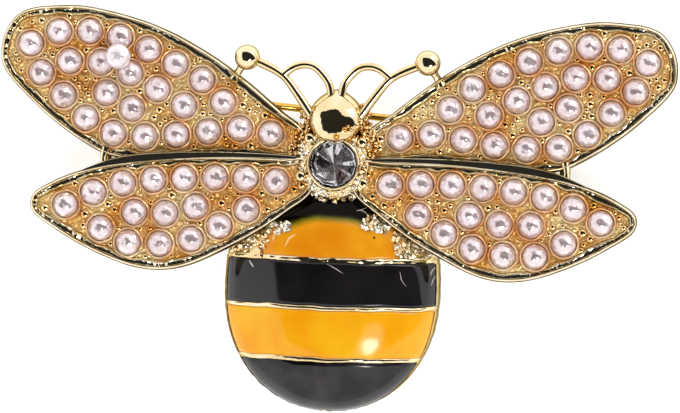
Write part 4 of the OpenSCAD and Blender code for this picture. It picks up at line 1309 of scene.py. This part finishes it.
def keeper(segments=48):
    """An open-sided tube: a ring of outer and inner arc with its mouth below, drawn out along x."""
    mouth = math.asin(KEEPER_BORE / EAR_R)
    a = np.linspace(-np.pi / 2 + mouth, 3 * np.pi / 2 - mouth, segments)
    b = np.linspace(np.pi, 0, segments // 2)
    outer, inner = EAR_R * on_circle(a), KEEPER_BORE * on_circle(b)
    ring = np.vstack([outer, [[-KEEPER_BORE, outer[-1, 1]]], inner, [[KEEPER_BORE, outer[0, 1]]]])
    x0, x1 = SPAN - KEEPER / 2, SPAN + KEEPER / 2
    skin = surface(np.array([across_x(x0, ring), across_x(x1, ring)]), wrap_cols=True)
    fine, coarse = np.linspace(0, 1, segments), np.linspace(0, 1, len(inner))
    spread = np.column_stack([np.interp(fine, coarse, inner[::-1, k]) for k in (0, 1)])
    cap = surface(np.array([across_x(x0, outer), across_x(x0, spread)]))
    foot = block((x0, -EAR_R * 0.6, 0.6), (x1, EAR_R * 0.6, BLOCK_TOP))
    return at_pin(joined([skin, copies(cap, [(0, 0, 0), (KEEPER, 0, 0)]), foot]))


make_piece("hinge_ears", [(hinge(), wire_gilt)])
make_piece("keeper_tube", [(keeper(), wire_gilt)])

# %% [markdown]
# The pin is drawn wire with an eye at one end and a long ground point at the other. Only two
# short stretches of it show in the picture. It could be one mesh with the hinge, but it rides on
# its own body, so that it turns on the rivet while the rest stays.

# %% Pin
def pin():
    """Eye, shoulder, wire and a long ground point."""
    half, soft = EYE_T / 2, 0.06
    eye = [(-half, EYE_BORE), (-half, EYE_R - soft), (-half + soft, EYE_R), (half - soft, EYE_R),
           (half, EYE_R - soft), (half, EYE_BORE), (-half, EYE_BORE)]
    neck, free = EAR_R + 0.45, SPAN - KEEPER / 2 - 0.6
    wire = [(0.6, 0), (0.6, SHOULDER_R), (neck - 0.1, SHOULDER_R), (neck, PIN_R), (free, PIN_R),
            (free + 2.0, PIN_R * 0.72), (free + KEEPER + 1.5, 0.07), (free + KEEPER + 1.6, 0)]
    return at_pin(joined([turned_about("y", eye, 40), turned_about("x", wire, 28)]))


make_piece("pin", [(pin(), wire_gilt)], ["pin_stem"], body="pin")

# %% [markdown]
# Where the rims of a fore and a hind wing meet they run together into one flat band with two
# thin raised lines, which widens outwards and narrows again before the notch. There a small
# waisted post bridges the wings. Both could be cut from the trays, but a band is simply a
# profile carried along a curve, and the post a short rod on a block, mirrored to the left.

# %% Joint bands and notch posts
# Columns: place across, middle line ahead of the stone, half the band's breadth
BAND = [(3.4, 0.45, 0.16), (7.0, 0.52, 0.24), (11.0, 0.46, 0.32), (15.0, 0.20, 0.43), (18.0, -0.12, 0.46),
        (20.2, -0.52, 0.36), (21.6, -0.92, 0.20), (22.8, -1.32, 0.06)]
# Columns: share of the half breadth, height
BAND_PROFILE = [(-1.0, 3.0), (-1.0, 4.9), (-0.96, 5.03), (-0.86, 5.12), (-0.76, 5.13), (-0.68, 5.06),
                (0.0, 5.05), (0.68, 5.06), (0.76, 5.13), (0.86, 5.12), (0.96, 5.03), (1.0, 4.9), (1.0, 3.0)]
# Columns: place, height, radius
POST = np.array([(20.9, -1.0, 4.2, 0.42), (21.0, -0.6, 4.3, 0.33), (21.05, -0.2, 4.25, 0.28),
                 (21.0, 0.2, 4.1, 0.33), (20.9, 0.7, 3.9, 0.45)])


def joint_band():
    """The profile carried along the curve, its half breadth swelling a little here and there."""
    x, middle, half = open_curve(BAND, 12).T
    half = half * (1 + 0.06 * waves(x, 0 * x, 1.7, 23))
    share, height = np.array(BAND_PROFILE).T
    y = middle[:, None] + half[:, None] * share
    return capped(np.stack(np.broadcast_arrays(x[:, None], y, height), -1))


def notch_post():
    """The waisted rod and the block that carries it."""
    return joined([tube(POST[:, :3], POST[:, 3], 20), block((20.4, -1.0, 2.8), (21.35, 0.5, 3.7))])


for word, side in SIDES.items():
    make_piece("notch_post_" + word, [(mirrored(notch_post(), side), polished_gilt)])
    make_piece("joint_band_" + word, [(mirrored(joint_band(), side), rim_gilt)])

# %% [markdown]
# The picture was taken in a white tent, with the camera looking in through a dark opening above.
# Area lamps and cards would need many samples to look as even. A world shader can hold the whole
# tent: white all round, a dark wedge overhead where three slanted borders leave it open, and a
# few brighter panels. Everything bright and black on the gold is this. A border is a plane
# through the brooch, so a direction's share along the plane's normal tells its two sides apart.

# %% Tent of light
# Strengths of the tent's wall and of its opening, and half the breadth of a soft border
WHITE_CARD, DARK_OPENING, BORDER = 1.2, 0.025, 0.03
# Normals of the opening's borders, towards its inside
OPENING = [(1, 0.3, 0.65), (-0.27, -1, 0.71), (0.1, 1, 0.48)]
# Columns: direction, strength, and the angles from it where the panel is full and where it ends
PANELS = [((0.34, -0.36, 0.85), 5.0, 0, 11), ((0.34, -0.36, 0.85), 24.0, 0, 6.5),
          ((0.61, 0.61, 0.5), 4.0, 11, 16)]
world = bpy.data.worlds.new("light_tent")
world.use_nodes = True
bpy.context.scene.world = world
tent = world.node_tree
direction = add_node(tent, "ShaderNodeTexCoord").outputs["Generated"]


def facing(toward, low, high):
    """0 where a direction's share along another is below low, 1 above high, and soft between."""
    unit = np.array(toward, float) / np.linalg.norm(toward)
    share = add_node(tent, "ShaderNodeVectorMath", {0: direction, 1: tuple(unit)}, operation="DOT_PRODUCT")
    inputs = {"Value": share.outputs["Value"], "From Min": low, "From Max": high}
    return add_node(tent, "ShaderNodeMapRange", inputs, interpolation_type="SMOOTHSTEP").outputs["Result"]


inside_all = 1.0
for normal in OPENING:
    inputs = {0: inside_all, 1: facing(normal, -BORDER, BORDER)}
    inside_all = add_node(tent, "ShaderNodeMath", inputs, operation="MULTIPLY").outputs["Value"]
strength = add_node(tent, "ShaderNodeMix", {"Factor": inside_all, 2: WHITE_CARD, 3: DARK_OPENING}).outputs[0]
for toward, glow, full, ends in PANELS:
    mask = facing(toward, math.cos(math.radians(ends)), math.cos(math.radians(full)))
    strength = add_node(tent, "ShaderNodeMix", {"Factor": mask, 2: strength, 3: glow}).outputs[0]
background = tent.nodes["Background"]
tent.links.new(strength, background.inputs["Strength"])
background.inputs["Color"].default_value = colour("#FFFFFF")
print("tent of", len(tent.nodes), "nodes")

# %% [markdown]
# The floor is plain white card that glows a little, so that no shadow greys it. The camera stands
# half a metre away with a long lens, so that the brooch is seen almost flat on, a few degrees
# from the right, and it is rolled two degrees, as in the picture. A tracking constraint could
# aim it; three unit vectors, right, up and back, say the same in the open.

# %% Floor and camera
card = new_material("white_card", Roughness=0.9, Emission_Strength=0.6, Base_Color="#FCFCFC",
                    Emission_Color="#FFFFFF")[0]
CARD_HALF = 0.6
corners = raised([(-1, -1), (1, -1), (1, 1), (-1, 1)], 0) * CARD_HALF
floor_mesh = bpy.data.meshes.new("floor")
floor_mesh.from_pydata(corners.tolist(), [], [(0, 1, 2, 3)])
floor_mesh.materials.append(card)
floor = bpy.data.objects.new("floor", floor_mesh)
bpy.context.scene.collection.objects.link(floor)

PIXELS_PER_MM, IMAGE_WIDTH, SENSOR_MM, DISTANCE = 11.07, 680, 36, 500.0
ROLL, SIDEWAYS = math.radians(1.99), math.radians(4.4)
# What the middle of the picture shows
AIM = np.array([0.74, -3.82 + SHIFT_Y, 5.3])
lens = bpy.data.cameras.new("camera")
lens.sensor_width = SENSOR_MM
lens.lens = SENSOR_MM * DISTANCE / (IMAGE_WIDTH / PIXELS_PER_MM)
lens.clip_start, lens.clip_end = 0.01, 10
camera = bpy.data.objects.new("camera", lens)
away = np.array([math.sin(SIDEWAYS), 0, math.cos(SIDEWAYS)])
camera.location = (AIM + away * DISTANCE) * MM
level = mathutils.Vector((math.cos(ROLL), math.sin(ROLL), 0))
back = mathutils.Vector(away.tolist())
right = (level - back * level.dot(back)).normalized()
camera.rotation_euler = mathutils.Matrix((right, back.cross(right), back)).transposed().to_euler()
bpy.context.scene.collection.objects.link(camera)
bpy.context.scene.camera = camera
bpy.context.scene.view_settings.view_transform = "Standard"
print("lens of", round(lens.lens, 1), "mm at", DISTANCE, "mm")
